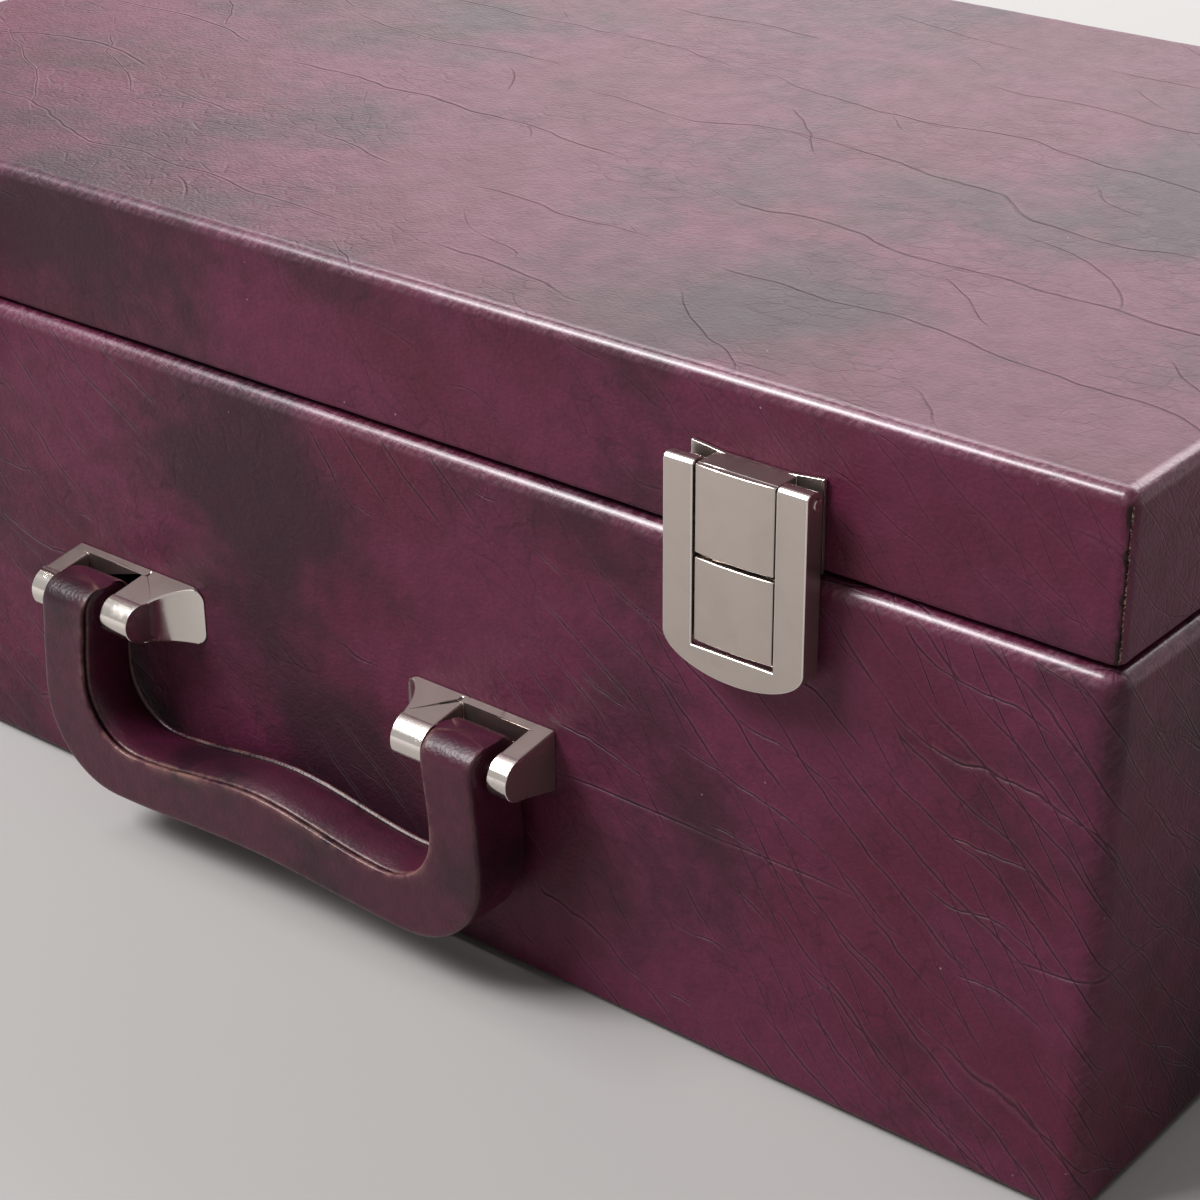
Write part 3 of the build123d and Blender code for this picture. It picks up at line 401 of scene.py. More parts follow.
@dataclass(frozen=True)
class MarbledLeather(Finish):
    """Thin cover leather, marbled, creased, and worn pale along its rolled edges.

    Attributes:
        half_x: half the width of what it covers, in millimetres.
        half_y: half the depth of what it covers.
        top: the height of its upper edges.
        corner: the radius of its upright corners.
        rim: the radius of its upper edges.
        butted: whether its pieces meet in an open seam at the corners.
        fold_height: the height of one long fold across the front, or None.
        cloud_shift: where the marbling's clouds start.
        mulberry: the leather's ground colour.
        wine: its redder clouds.
        smoke: its grey clouds, and the painted shade on the floors of its creases and fine
            wrinkles.
        worn: where it is rubbed pale, and its pale dust; on the rolled edges this pale is partly
            a painted highlight, and on the creases' ridges it is a painted highlight.
        glue: flecks of dried glue.
        stain: glue soaked in beside an open seam.
        gap: the painted shade inside an open seam.
        sheen: the tint of the light on the rolled edges.
        gloss: how strongly the flat leather reflects.
        butted_faces: how deep the creases are on the upright faces of a butted cover.
        cloud_size: the size of the grey clouds.
        red_size: the size of the red clouds.
        mottle_size: the size of the fine mottling.
        specks: how far apart the specks of dust are, at least.
        families: the long creases.
    """

    half_x: float = 210.0
    half_y: float = 132.5
    top: float = 124.0
    corner: float = 5.0
    rim: float = 3.0
    butted: bool = False
    fold_height: Optional[float] = None
    cloud_shift: tuple[float, float, float] = (0, 0, 0)
    mulberry: Colour = paint(99, 37, 64)
    wine: Colour = paint(88, 26, 48)
    smoke: Colour = paint(37, 22, 30)
    worn: Colour = paint(196, 156, 172)
    glue: Colour = paint(224, 196, 164)
    stain: Colour = paint(28, 12, 12)
    gap: Colour = paint(16, 8, 9)
    sheen: Colour = paint(255, 222, 242)
    gloss: float = 0.28
    butted_faces: float = 0.35
    cloud_size: float = 74.0
    red_size: float = 50.0
    mottle_size: float = 6.0
    specks: float = 8.5
    families: tuple[Folds, ...] = (
        Folds((0.85, 1.2, 1.0), 13.0, 34.0, (0, 0, 0), 0.46, width=1.5, reach=36.0),
        Folds((0.45, 0.8, 1.0), 17.0, 42.0, (310, 70, 120), 0.48, width=1.3),
        Folds((1.5, 0.9, 1.0), 11.0, 22.0, (90, 410, 30), 0.54),
        Folds((0.12, 1.0, 0.0), 36.0, 38.0, (530, 20, 210), 0.38, 0.0, 0.8, 1.9, 64.0, 3.0),
        Folds((0.62, 0.8, 0.0), 30.0, 34.0, (40, 260, 330), 0.5, 0.0, 0.6, 1.3, 40.0, 3.5),
    )

    def wire(self, graph: Graph) -> None:
        """Builds the marbling, the creases with painted shade and painted highlight, grain, wear
        with a painted highlight on the rims, and dust.

        Args:
            graph: the material's nodes.
        """
        place = graph.place()
        mottle = graph.noise(place, size=self.mottle_size, detail=3, roughness=0.6)
        marbling = self.marbling(graph, place, mottle)
        valleys, ridges = self.creases(graph, place)
        web = self.web(graph, place, mottle)
        grain = self.grain(graph, place)
        roll, wear = self.edge_wear(graph, place, mottle)
        height = 0.22 * mottle - 0.25 * valleys + 0.07 * ridges
        height = height - 0.07 * web + 0.15 * grain + roll * self.puckers(graph, place)
        speckle = grain.fade(0.25, 0.85)
        # Painted shade: the creases' valleys and the fine wrinkles are darkened with smoke.
        colour = graph.mix((0.5 * valleys + 0.2 * web).least(0.8), marbling, self.smoke,
                           "MULTIPLY")
        colour = graph.mix(0.22 * speckle, colour, tuple(0.4 * c for c in self.mulberry))
        # Painted highlight: the creases' ridges are lightened, and the rolled edges are lightened
        # partly as wear and partly as a painted highlight.
        colour = graph.mix(0.045 * ridges + 0.34 * wear, colour, self.worn)
        colour = graph.mix(self.dust(graph, place, mottle), colour, self.worn)
        roughness = 0.4 + 0.12 * mottle - 0.14 * roll + 0.06 * grain
        if self.butted:
            seam, stain, flecks = self.butt_seam(graph, place, mottle)
            colour = graph.mix(0.9 * stain, colour, self.stain)
            # Painted shade: the open seam's line is painted dark.
            colour = graph.mix(seam, colour, self.gap)
            colour = graph.mix(flecks, colour, self.glue)
            height = height - 0.3 * seam + 0.2 * flecks
        graph.surface(Base_Color=colour, Roughness=roughness, IOR=1.46,
                      Specular_IOR_Level=self.gloss, Coat_Weight=0.85 * roll,
                      Coat_Roughness=0.25, Coat_IOR=1.6, Coat_Tint=self.sheen,
                      Normal=graph.bump(height))

    def marbling(self, graph: Graph, place: Signal, mottle: Signal) -> Signal:
        """Soft clouds of smoke grey and wine red in the mulberry ground.

        Args:
            graph: the material's nodes.
            place: the point in millimetres.
            mottle: the fine mottling, from 0 to 1.

        Returns:
            The colour.
        """
        drawn = graph.laid(place, (0, 24, 12), (1.25, 1, 0.85), self.cloud_shift)
        grey = graph.noise(drawn, size=self.cloud_size, detail=3, roughness=0.55,
                           distortion=0.3)
        red = graph.noise(graph.vector("ADD", drawn, (410, 90, 250)), size=self.red_size,
                          detail=2, roughness=0.55)
        colour = graph.mix(0.75 * red.fade(0.48, 0.66), self.mulberry, self.wine)
        grey = (grey + 0.2 * (mottle - 0.5)).fade(0.4, 0.66)
        colour = graph.mix(0.9 * grey, colour, self.smoke)
        return graph.mix(0.28 * mottle.fade(0.3, 0.7), colour,
                         tuple(0.5 * c for c in self.mulberry))

    def creases(self, graph: Graph, place: Signal) -> tuple[Signal, Signal]:
        """The long creases, which are fewer in the middle than towards the ends.

        Args:
            graph: the material's nodes.
            place: the point in millimetres.

        Returns:
            The valleys and the ridges beside them, as lines of about 1.
        """
        valleys, ridges = None, None
        x = graph.parts(place)
        more = abs(x) * (0.17 / self.half_x) - 0.06
        above = x.part("Z").fade(self.top - 0.9 * self.rim, self.top - 0.4 * self.rim)
        on_faces = self.butted_faces if self.butted else 1.0
        for family in self.families:
            level = graph.vector("DOT_PRODUCT", place, family.across).part("Value")
            shifted = graph.vector("ADD", place, family.shift)
            level = level + family.wander * graph.noise(
                shifted, size=58, detail=family.crooked, roughness=0.42)
            away = family.spacing * abs(
                graph.maths("FRACT", level * (1 / family.spacing)) - 0.5)
            patch = graph.noise(shifted, size=family.reach, detail=2.5, roughness=0.6)
            patch = (patch + more).fade(family.cover, family.cover + 0.15)
            beside = on_faces * family.on_faces
            patch = patch * (beside + (family.on_top - beside) * above)
            valley = patch * away.fade(0.3 * family.width, 0.0)
            ridge = patch * away.fade(0.9 * family.width, 0.3 * family.width)
            valleys = valley if valleys is None else valleys.most(valley)
            ridges = ridge if ridges is None else ridges.most(ridge)
        if self.fold_height is not None:
            drift = graph.noise(graph.laid(place, (0, 0, 0), (55, 55, 55)), detail=2)
            away = abs(x.part("Z") - self.fold_height - 9.0 * (drift - 0.5))
            shown = 0.9 * drift.fade(0.36, 0.5) * x.fade(60.0, 95.0)
            valleys = valleys.most(shown * away.fade(0.45, 0.0))
            ridges = ridges.most(shown * away.fade(1.3, 0.4))
        return valleys, ridges - valleys

    def web(self, graph: Graph, place: Signal, mottle: Signal) -> Signal:
        """A web of fine wrinkles, in patches, as lines of 1.

        Args:
            graph: the material's nodes.
            place: the point in millimetres.
            mottle: the fine mottling, from 0 to 1.

        Returns:
            The lines.
        """
        push = graph.vector("MULTIPLY_ADD", graph.node(
            "ShaderNodeCombineXYZ", None, {"X": mottle, "Y": mottle, "Z": mottle}),
            (5.0, 3.0, -5.0), place)
        spot = graph.laid(push, (0, 34, 14), (15, 5, 5))
        lines = graph.cells(spot, feature="DISTANCE_TO_EDGE").fade(0.07, 0.0)
        return lines * graph.noise(place, size=30, detail=2).fade(0.45, 0.6)

    def grain(self, graph: Graph, place: Signal) -> Signal:
        """The fine grain, drawn out along the width, from 0 to 1.

        Args:
            graph: the material's nodes.
            place: the point in millimetres.

        Returns:
            The grain.
        """
        drawn = graph.laid(place, (0, 12, 0), (1.4, 0.9, 0.9))
        fine = graph.noise(drawn, size=0.62, detail=2.5, roughness=0.7)
        return 0.55 * graph.cells(drawn) + 0.75 * (fine - 0.2)

    def puckers(self, graph: Graph, place: Signal) -> Signal:
        """Fine slanting puckers of the rolled edges, in millimetres."""
        drawn = graph.laid(place, (0, 40, 0), (0.75, 2.0, 2.2))
        return 0.17 * graph.noise(drawn, detail=2.5, roughness=0.7)

    def sides(self, graph: Graph, place: Signal) -> tuple[Signal, Signal, Signal]:
        """How far a point is outside the end faces, the long faces and the top."""
        x = graph.parts(place)
        return abs(x) - self.half_x, abs(x.part("Y")) - self.half_y, x.part("Z") - self.top

    def edge_wear(self, graph: Graph, place: Signal, mottle: Signal) -> tuple[Signal, Signal]:
        """Where the leather is rolled over an edge, and where that is painted pale, partly as
        wear and partly as a painted highlight.

        Args:
            graph: the material's nodes.
            place: the point in millimetres.
            mottle: the fine mottling, from 0 to 1.

        Returns:
            Both, from 0 to 1.
        """
        end, face, above = self.sides(graph, place)
        outer = end.most(face)
        roll = (outer + above).fade(-1.3 * self.rim, -0.6 * self.rim)
        upright = (end + face).fade(-0.9 * self.corner, -0.6 * self.corner)
        streaks = graph.noise(graph.laid(place, (0, 40, 0), (0.9, 3, 3)), detail=3,
                              roughness=0.65)
        rubbed = roll.most(0.25 * upright) * streaks.fade(0.4, 0.68) * (0.4 + 0.6 * mottle)
        return roll, rubbed

    def dust(self, graph: Graph, place: Signal, mottle: Signal) -> Signal:
        """A few pale specks of dust, from 0 to 1."""
        specks = graph.cells(place, size=self.specks).fade(0.032, 0.02)
        return 0.6 * specks * mottle.fade(0.52, 0.58)

    def butt_seam(self, graph: Graph, place: Signal,
                  mottle: Signal) -> tuple[Signal, Signal, Signal]:
        """The open seam at each upright corner, as the mask of its painted shade, its stain and
        its flecks of dried glue.

        Args:
            graph: the material's nodes.
            place: the point in millimetres.
            mottle: the fine mottling, from 0 to 1.

        Returns:
            The three, from 0 to 1.
        """
        end, face, above = self.sides(graph, place)
        ragged = graph.noise(place, size=0.9, detail=2) - 0.5
        across = (face - end) + 0.9 * (mottle - 0.5)
        there = (end + face).fade(-2.4 * self.corner, -1.2 * self.corner)
        there = there * above.fade(-2.4, -3.4)
        seam = (abs(across) + 0.3 * ragged).fade(0.24, 0.08) * there
        stain = (abs(across - 0.7) + 0.8 * ragged).fade(1.0, 0.3) * mottle.fade(0.42, 0.56)
        crumbs = graph.noise(place, size=0.42, detail=3, roughness=0.7).fade(0.5, 0.57)
        flecks = crumbs * (abs(across + 0.25) + 0.4 * ragged).fade(0.36, 0.1) * there
        return seam, stain * there, flecks


@dataclass(frozen=True)
class HandleLeather(Finish):
    """Moulded leather on the handle: marbled, fine grained, its groove darkened with painted
    shade, its beads worn to pink and gold.

    Attributes:
        mulberry: the leather's ground colour.
        smoke: its grey clouds.
        shadow: the painted shade in its groove, and the colour of its darker mottling.
        worn: where its beads are rubbed pale.
    """

    mulberry: Colour = paint(74, 25, 46)
    smoke: Colour = paint(30, 17, 24)
    shadow: Colour = paint(34, 15, 22)
    worn: Colour = paint(188, 142, 128)

    def wire(self, graph: Graph) -> None:
        """Builds the marbling, grain, painted shade in the groove and worn beads.

        Args:
            graph: the material's nodes.
        """
        place = graph.place()
        clouds = graph.noise(graph.laid(place, (0, 20, 0), (1.3, 1, 0.9)), size=34, detail=3,
                             roughness=0.55)
        mottle = graph.noise(place, size=4, detail=3, roughness=0.6)
        grain = graph.cells(graph.pushed(place, 2.4, 0.4), size=0.95)
        fine = graph.noise(place, size=0.45, detail=2, roughness=0.6)
        wear, groove = (graph.node("ShaderNodeAttribute", {"attribute_name": name},
                                   output="Fac") for name in ("wear", "groove"))
        colour = graph.mix(0.8 * (clouds + 0.1 * mottle).fade(0.5, 0.7), self.mulberry,
                           self.smoke)
        colour = graph.mix(0.3 * mottle.fade(0.3, 0.7), colour, self.shadow)
        # Painted shade: the groove is darkened.
        colour = graph.mix(0.85 * groove, colour, self.shadow, "MULTIPLY")
        rubbed = wear * graph.noise(place, size=6, detail=4, roughness=0.6).fade(0.36, 0.66)
        colour = graph.mix(0.4 * rubbed, colour, self.worn)
        height = 0.05 * grain + 0.035 * fine + 0.3 * graph.noise(place, size=9, detail=2)
        graph.surface(Base_Color=colour, Roughness=0.25 + 0.14 * mottle - 0.04 * rubbed,
                      IOR=1.5, Specular_IOR_Level=0.34, Normal=graph.bump(height))


@dataclass(frozen=True)
class Nickel(Finish):
    """Nickel plate: satin or polished, with faint scratches and specks of dust.

    Attributes:
        tint: the metal's colour.
        roughness: how rough it is where it is clean.
        grain: the depth of its satin grain, in millimetres.
        dusty: how strongly its dust shows.
        dust: the dust's colour.
    """

    tint: Colour = paint(190, 179, 172)
    roughness: float = 0.33
    grain: float = 0.006
    dusty: float = 0.5
    dust: Colour = paint(214, 206, 200)

    def wire(self, graph: Graph) -> None:
        """Builds the plate's cloudiness, scratches and dust.

        Args:
            graph: the material's nodes.
        """
        place = graph.place()
        satin = graph.noise(place, size=0.25, detail=3, roughness=0.7)
        cloudy = graph.noise(place, size=8, detail=3, roughness=0.6)
        spot = graph.laid(graph.pushed(place, 5, 0.6), (20, 35, 50), (9, 0.5, 0.5))
        scratches = graph.cells(spot, feature="DISTANCE_TO_EDGE").fade(0.012, 0.0)
        scratches = scratches * graph.noise(place, size=6, detail=2).fade(0.56, 0.7)
        dust = graph.cells(place, size=1.6).fade(0.085, 0.05)
        dust = self.dusty * dust * graph.noise(place, size=4, detail=2).fade(0.52, 0.62)
        colour = graph.mix(0.35 * cloudy.fade(0.4, 0.8), self.tint,
                           tuple(0.82 * share for share in self.tint))
        colour = graph.mix(dust, colour, self.dust)
        roughness = self.roughness + 0.1 * (cloudy - 0.5) + 0.12 * scratches + 0.4 * dust
        height = self.grain * satin - 0.008 * scratches + 0.02 * dust
        graph.surface(Base_Color=colour, Metallic=1.0, Roughness=roughness,
                      Normal=graph.bump(height))


@dataclass(frozen=True)
class PlainSteel(Finish):
    """Bare or blued steel, with rolling lines and a little tarnish.

    Attributes:
        bright: the metal's colour.
        tarnish: its colour where it is tarnished.
        roughness: how rough it is where it is bright.
    """

    bright: Colour = paint(168, 166, 166)
    tarnish: Colour = paint(104, 98, 94)
    roughness: float = 0.36

    def wire(self, graph: Graph) -> None:
        """Builds the rolling lines and tarnish.

        Args:
            graph: the material's nodes.
        """
        place = graph.place()
        lines = graph.noise(graph.laid(place, (0, 0, 0), (12, 0.35, 0.35)), detail=2)
        spots = graph.noise(place, size=5, detail=4, roughness=0.65)
        colour = graph.mix(0.8 * spots.fade(0.45, 0.75), self.bright, self.tarnish)
        graph.surface(Base_Color=colour, Metallic=1.0,
                      Roughness=self.roughness + 0.25 * spots.fade(0.45, 0.75) + 0.08 * lines,
                      Normal=graph.bump(0.02 * lines + 0.03 * spots))


@dataclass(frozen=True)
class Velvet(Finish):
    """Short burgundy velvet, brushed in patches.

    Attributes:
        pile: the colour of the pile.
        deep: its colour between the tufts.
        brushed: its colour where it is brushed.
        sheen: the tint of its soft edge light.
    """

    pile: Colour = paint(104, 18, 38)
    deep: Colour = paint(58, 8, 20)
    brushed: Colour = paint(148, 46, 68)
    sheen: Colour = paint(226, 150, 166)

    def wire(self, graph: Graph) -> None:
        """Builds the pile and the brushed patches.

        Args:
            graph: the material's nodes.
        """
        place = graph.place()
        tufts = graph.cells(place, size=0.42)
        fibres = graph.noise(graph.laid(place, (30, 0, 20), (0.3, 0.9, 0.3)), detail=3,
                             roughness=0.7)
        brushed = graph.noise(graph.laid(place, (0, 0, 35), (50, 26, 26)), detail=3,
                              roughness=0.6, distortion=0.3)
        colour = graph.mix(fibres.fade(0.3, 0.7), self.deep, self.pile)
        colour = graph.mix(0.26 * brushed.fade(0.42, 0.72), colour, self.brushed)
        graph.surface(Base_Color=colour, Roughness=0.85 + 0.1 * fibres, Sheen_Weight=0.45,
                      Sheen_Roughness=0.45, Sheen_Tint=self.sheen,
                      Normal=graph.bump(0.16 * tufts + 0.14 * fibres))


@dataclass(frozen=True)
class SatinRibbon(Finish):
    """Satin ribbon with fine ribs across.

    Attributes:
        silk: the colour of the threads.
        dull: their colour between the ribs.
        sheen: the tint of their soft edge light.
    """

    silk: Colour = paint(150, 26, 48)
    dull: Colour = paint(104, 14, 32)
    sheen: Colour = paint(236, 170, 184)

    def wire(self, graph: Graph) -> None:
        """Builds the ribs and the soft shine.

        Args:
            graph: the material's nodes.
        """
        place = graph.place()
        ribs = graph.noise(graph.laid(place, (0, 0, 0), (0.25, 6, 0.25)), detail=2)
        soft = graph.noise(place, size=7, detail=2)
        colour = graph.mix(0.7 * ribs.fade(0.3, 0.7), self.silk, self.dull)
        graph.surface(Base_Color=colour, Roughness=0.38 + 0.2 * soft,
                      Sheen_Weight=0.3, Sheen_Roughness=0.4, Sheen_Tint=self.sheen,
                      Normal=graph.bump(0.06 * ribs + 0.05 * soft))


@dataclass(frozen=True)
class Fibrous(Finish):
    """Pressed fibres, such as raw board, card or felt.

    Attributes:
        light: the colour of the fibres.
        dark: their colour in the gaps and flecks.
        fibre: the thickness of the fibres, in millimetres.
        relief: how deep the gaps are, in millimetres.
    """

    light: Colour = paint(178, 144, 104)
    dark: Colour = paint(122, 92, 62)
    fibre: float = 1.2
    relief: float = 0.08

    def wire(self, graph: Graph) -> None:
        """Builds the fibres and flecks.

        Args:
            graph: the material's nodes.
        """
        place = graph.place()
        fibres = graph.noise(graph.laid(graph.pushed(place, 3, 0.8), (10, 20, 40),
                                        (3 * self.fibre, self.fibre, self.fibre)),
                             detail=4, roughness=0.68)
        flecks = graph.cells(place, size=2.2 * self.fibre).fade(0.16, 0.08)
        broad = graph.noise(place, size=40, detail=2)
        colour = graph.mix(fibres.fade(0.32, 0.7), self.dark, self.light)
        colour = graph.mix(0.5 * flecks, colour, self.dark)
        colour = graph.mix(0.25 * broad.fade(0.4, 0.7), colour, self.dark)
        graph.surface(Base_Color=colour, Roughness=0.86 + 0.1 * fibres,
                      Normal=graph.bump(self.relief * fibres))


SATIN_NICKEL = Nickel("satin_nickel")
POLISHED_NICKEL = Nickel("polished_nickel", tint=paint(222, 214, 208), roughness=0.13,
                         grain=0.001, dusty=0.25)
VELVET = Velvet("burgundy_velvet")
SLOT_FINISHES: dict[Slot, Finish] = {
    Slot.CASE_LEATHER: MarbledLeather("case_leather_plain"),
    Slot.HANDLE_LEATHER: HandleLeather("handle_leather"),
    Slot.NICKEL: SATIN_NICKEL,
    Slot.STEEL: PlainSteel("plain_steel"),
    Slot.SPRING_STEEL: PlainSteel("blued_spring_steel", bright=paint(96, 104, 124),
                                  tarnish=paint(58, 60, 70), roughness=0.3),
    Slot.BOARD: Fibrous("raw_board"),
    Slot.CARD: Fibrous("raw_card", light=paint(170, 156, 132), dark=paint(128, 114, 92),
                       fibre=0.7, relief=0.04),
    Slot.VELVET: VELVET,
    Slot.RIBBON: SatinRibbon("satin_ribbon"),
    Slot.BASE_FELT: Fibrous("base_felt", light=paint(62, 54, 58), dark=paint(30, 26, 30),
                            fibre=0.5, relief=0.12),
}


@dataclass(frozen=True)
class Workbench:
    """Blender's modelling operators, each used with nothing else selected.

    Attributes:
        snap: how near to a cut a point is that it counts as lying on it.
        merge: how near to each other points are that count as one.
        flat: the largest angle between the triangles of one flat face, in degrees.
    """

    snap: float = 0.1 * MM
    merge: float = 0.002 * MM
    flat: float = 0.6

    def clear(self) -> None:
        """Goes back to object mode with nothing selected."""
        active = bpy.context.view_layer.objects.active
        if active is not None and active.mode != "OBJECT":
            bpy.ops.object.mode_set(mode="OBJECT")
        bpy.ops.object.select_all(action="DESELECT")

    def take(self, piece: Piece) -> None:
        """Makes a piece the only one selected.

        Args:
            piece: the piece.
        """
        self.clear()
        piece.select_set(True)
        bpy.context.view_layer.objects.active = piece

    def settle(self, name: str) -> Piece:
        """Names the piece that was just added and puts its place into its mesh.

        Args:
            name: the piece's name.

        Returns:
            The piece.
        """
        piece = bpy.context.view_layer.objects.active
        piece.name = piece.data.name = name
        self.take(piece)
        bpy.ops.object.transform_apply(location=True, rotation=True, scale=True)
        return piece

    def block(self, name: str, low: Sequence[float], high: Sequence[float]) -> Piece:
        """Adds a cuboid.

        Args:
            name: the piece's name.
            low: its lowest corner.
            high: its highest corner.

        Returns:
            The piece.
        """
        self.clear()
        low, high = Vector(low), Vector(high)
        bpy.ops.mesh.primitive_cube_add(size=1, location=(low + high) / 2, scale=high - low)
        return self.settle(name)

    def tube(self, name: str, sides: int, rings: int) -> Piece:
        """Adds an upright closed tube of radius 1, with its rings one apart from height 0.

        Args:
            name: the piece's name.
            sides: how many points each ring has.
            rings: how many rings there are.

        Returns:
            The piece.
        """
        self.clear()
        height = rings - 1
        bpy.ops.mesh.primitive_cylinder_add(vertices=sides, radius=1, depth=height,
                                            location=(0, 0, height / 2))
        piece = self.settle(name)
        with self.editing(piece):
            self.slice(2, range(1, height))
        return piece

    @contextmanager
    def editing(self, piece: Piece) -> Iterator[None]:
        """Edit mode on one piece, starting with nothing selected.

        Args:
            piece: the piece.

        Returns:
            A context that goes back to object mode at its end.
        """
        self.take(piece)
        bpy.ops.object.mode_set(mode="EDIT")
        bpy.ops.mesh.select_all(action="DESELECT")
        try:
            yield
        finally:
            bpy.ops.object.mode_set(mode="OBJECT")

    def choose(self, piece: Piece, pick: Pick, test: Callable[[object], bool]) -> int:
        """Selects, in edit mode, what passes a test, and only that.

        Args:
            piece: the piece in edit mode.
            pick: vertices, edges or faces.
            test: says whether an element is wanted.

        Returns:
            How many were selected.
        """
        bpy.ops.mesh.select_mode(type=pick.value)
        bpy.ops.mesh.select_all(action="DESELECT")
        mesh = bmesh.from_edit_mesh(piece.data)
        mesh.normal_update()
        elements = {Pick.VERTICES: mesh.verts, Pick.EDGES: mesh.edges, Pick.FACES: mesh.faces}
        wanted = [element for element in elements[pick] if test(element)]
        for element in wanted:
            element.select_set(True)
        mesh.select_flush_mode()
        bmesh.update_edit_mesh(piece.data)
        return len(wanted)

    def round_edges(self, piece: Piece, test: Callable[[bmesh.types.BMEdge], bool],
                    width: float, steps: int, material: int = -1) -> None:
        """Rounds, in edit mode, the edges that pass a test.

        Args:
            piece: the piece in edit mode.
            test: says whether an edge is rounded.
            width: how far the rounding reaches along each face.
            steps: how many faces it has.
            material: the material slot of its faces, or -1 to keep theirs.
        """
        if self.choose(piece, Pick.EDGES, test):
            bpy.ops.mesh.bevel(offset=width, segments=steps, profile=0.5, affect="EDGES",
                               clamp_overlap=False, loop_slide=False, material=material)

    def slice(self, axis: int, places: Iterable[float]) -> None:
        """Cuts, in edit mode, all faces by planes across an axis.

        Args:
            axis: 0, 1 or 2.
            places: where the planes are on that axis.
        """
        normal = [0.0, 0.0, 0.0]
        normal[axis] = 1.0
        for place in places:
            bpy.ops.mesh.select_all(action="SELECT")
            point = [share * place for share in normal]
            bpy.ops.mesh.bisect(plane_co=point, plane_no=normal, threshold=self.snap)

    def modify(self, piece: Piece, kind: str, **settings: object) -> None:
        """Adds a modifier and applies it.

        Args:
            piece: the piece.
            kind: the modifier's type.
            settings: the modifier's settings.
        """
        self.take(piece)
        modifier = piece.modifiers.new(kind.lower(), kind)
        for name, value in settings.items():
            setattr(modifier, name, value)
        bpy.ops.object.modifier_apply(modifier=modifier.name)

    def copy_of(self, node: str, name: str) -> Piece:
        """Copies a CAD node, with its triangles merged into whole faces.

        Args:
            node: the CAD node.
            name: the new piece's name.

        Returns:
            The new piece.
        """
        mesh = frame["nodes"][node].data.copy()
        mesh.name = name
        mesh.materials.clear()
        piece = bpy.data.objects.new(name, mesh)
        bpy.context.scene.collection.objects.link(piece)
        self.take(piece)
        bpy.ops.mesh.customdata_custom_splitnormals_clear()
        with self.editing(piece):
            bpy.ops.mesh.select_all(action="SELECT")
            bpy.ops.mesh.remove_doubles(threshold=self.merge)
            bpy.ops.mesh.dissolve_limited(angle_limit=math.radians(self.flat))
        return piece

    def surface_of(self, piece: Piece) -> BVHTree:
        """The piece's surface as it is now, for looking up nearest points."""
        return BVHTree.FromObject(piece, bpy.context.evaluated_depsgraph_get())

    def pull_in(self, piece: Piece, surface: BVHTree, reach: float) -> None:
        """Brings back the corners that a rounding has thrown off the surface.

        Args:
            piece: the rounded piece.
            surface: its surface before the rounding.
            reach: how far a point may lie from that surface.
        """
        for vertex in piece.data.vertices:
            nearest, _, _, away = surface.find_nearest(vertex.co)
            if away > reach:
                vertex.co = nearest

    def smooth(self, piece: Piece, angle: float, weighted: bool = True) -> None:
        """Shades smoothly up to an angle, with large faces kept flat.

        Args:
            piece: the piece.
            angle: the sharpest angle that is smoothed, in degrees.
            weighted: whether larger faces turn the normals more.
        """
        self.take(piece)
        bpy.ops.object.shade_smooth_by_angle(angle=math.radians(angle))
        if weighted:
            self.modify(piece, "WEIGHTED_NORMAL", keep_sharp=True)

    def face_out(self, piece: Piece) -> None:
        """Turns every face outwards.

        Args:
            piece: the piece.
        """
        with self.editing(piece):
            bpy.ops.mesh.select_all(action="SELECT")
            bpy.ops.mesh.normals_make_consistent(inside=False)


@dataclass
class SubAssembly:
    """Something on the case that is built and dressed as one.

    Attributes:
        bench: the modelling operators.
    """

    bench: Workbench

    def put(self, piece: Piece, body: Body, slot: Slot, *nodes: str) -> Piece:
        """Says which body a piece rides on and the CAD nodes it stands for.

        Args:
            piece: the finished piece.
            body: the CAD body that it moves with.
            slot: the record's material slot, which is not used.
            nodes: the CAD nodes that it replaces.

        Returns:
            The piece.
        """
        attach(piece, body.value)
        if nodes:
            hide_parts(*nodes)
        LOG.info("%s: %d faces, on %s, for %s", piece.name, len(piece.data.polygons),
                 body.value, ", ".join(nodes) or "no node")
        return piece

    def soften(self, node: str, width: float, finishes: Sequence[Finish], steps: int = 2,
               sharp: float = 32.0,
               spared: Callable[[bmesh.types.BMEdge], bool] = lambda edge: False,
               bright: Callable[[bmesh.types.BMFace], bool] = lambda face: False,
               shape: Callable[[Piece], None] = lambda piece: None) -> Piece:
        """Copies a CAD node and rounds its edges.

        Args:
            node: the CAD node.
            width: the width of the rounding.
            finishes: the finish of its faces, then one for its edges if that is another.
            steps: how many faces the rounding has.
            sharp: the smallest angle that is rounded, in degrees.
            spared: says whether an edge is left sharp.
            bright: says whether a face has the edges' finish.
            shape: changes the copy before its edges are rounded.

        Returns:
            The new piece.
        """
        piece = self.bench.copy_of(node, node + "_finished")
        shape(piece)
        for finish in finishes:
            piece.data.materials.append(finish.material())
        edge_slot = len(finishes) - 1
        limit = math.radians(sharp)

        def rounded(edge: bmesh.types.BMEdge) -> bool:
            """Whether an edge is sharp enough and isn't spared.

            Args:
                edge: the edge.

            Returns:
                Whether it is rounded.
            """
            return edge.calc_face_angle(0.0) > limit and not spared(edge)

        surface = self.bench.surface_of(piece)
        with self.bench.editing(piece):
            if self.bench.choose(piece, Pick.FACES, bright):
                piece.active_material_index = edge_slot
                bpy.ops.object.material_slot_assign()
            self.bench.round_edges(piece, rounded, width, steps, edge_slot)
        self.bench.pull_in(piece, surface, 0.9 * width)
        self.bench.smooth(piece, angle=38)
        return piece


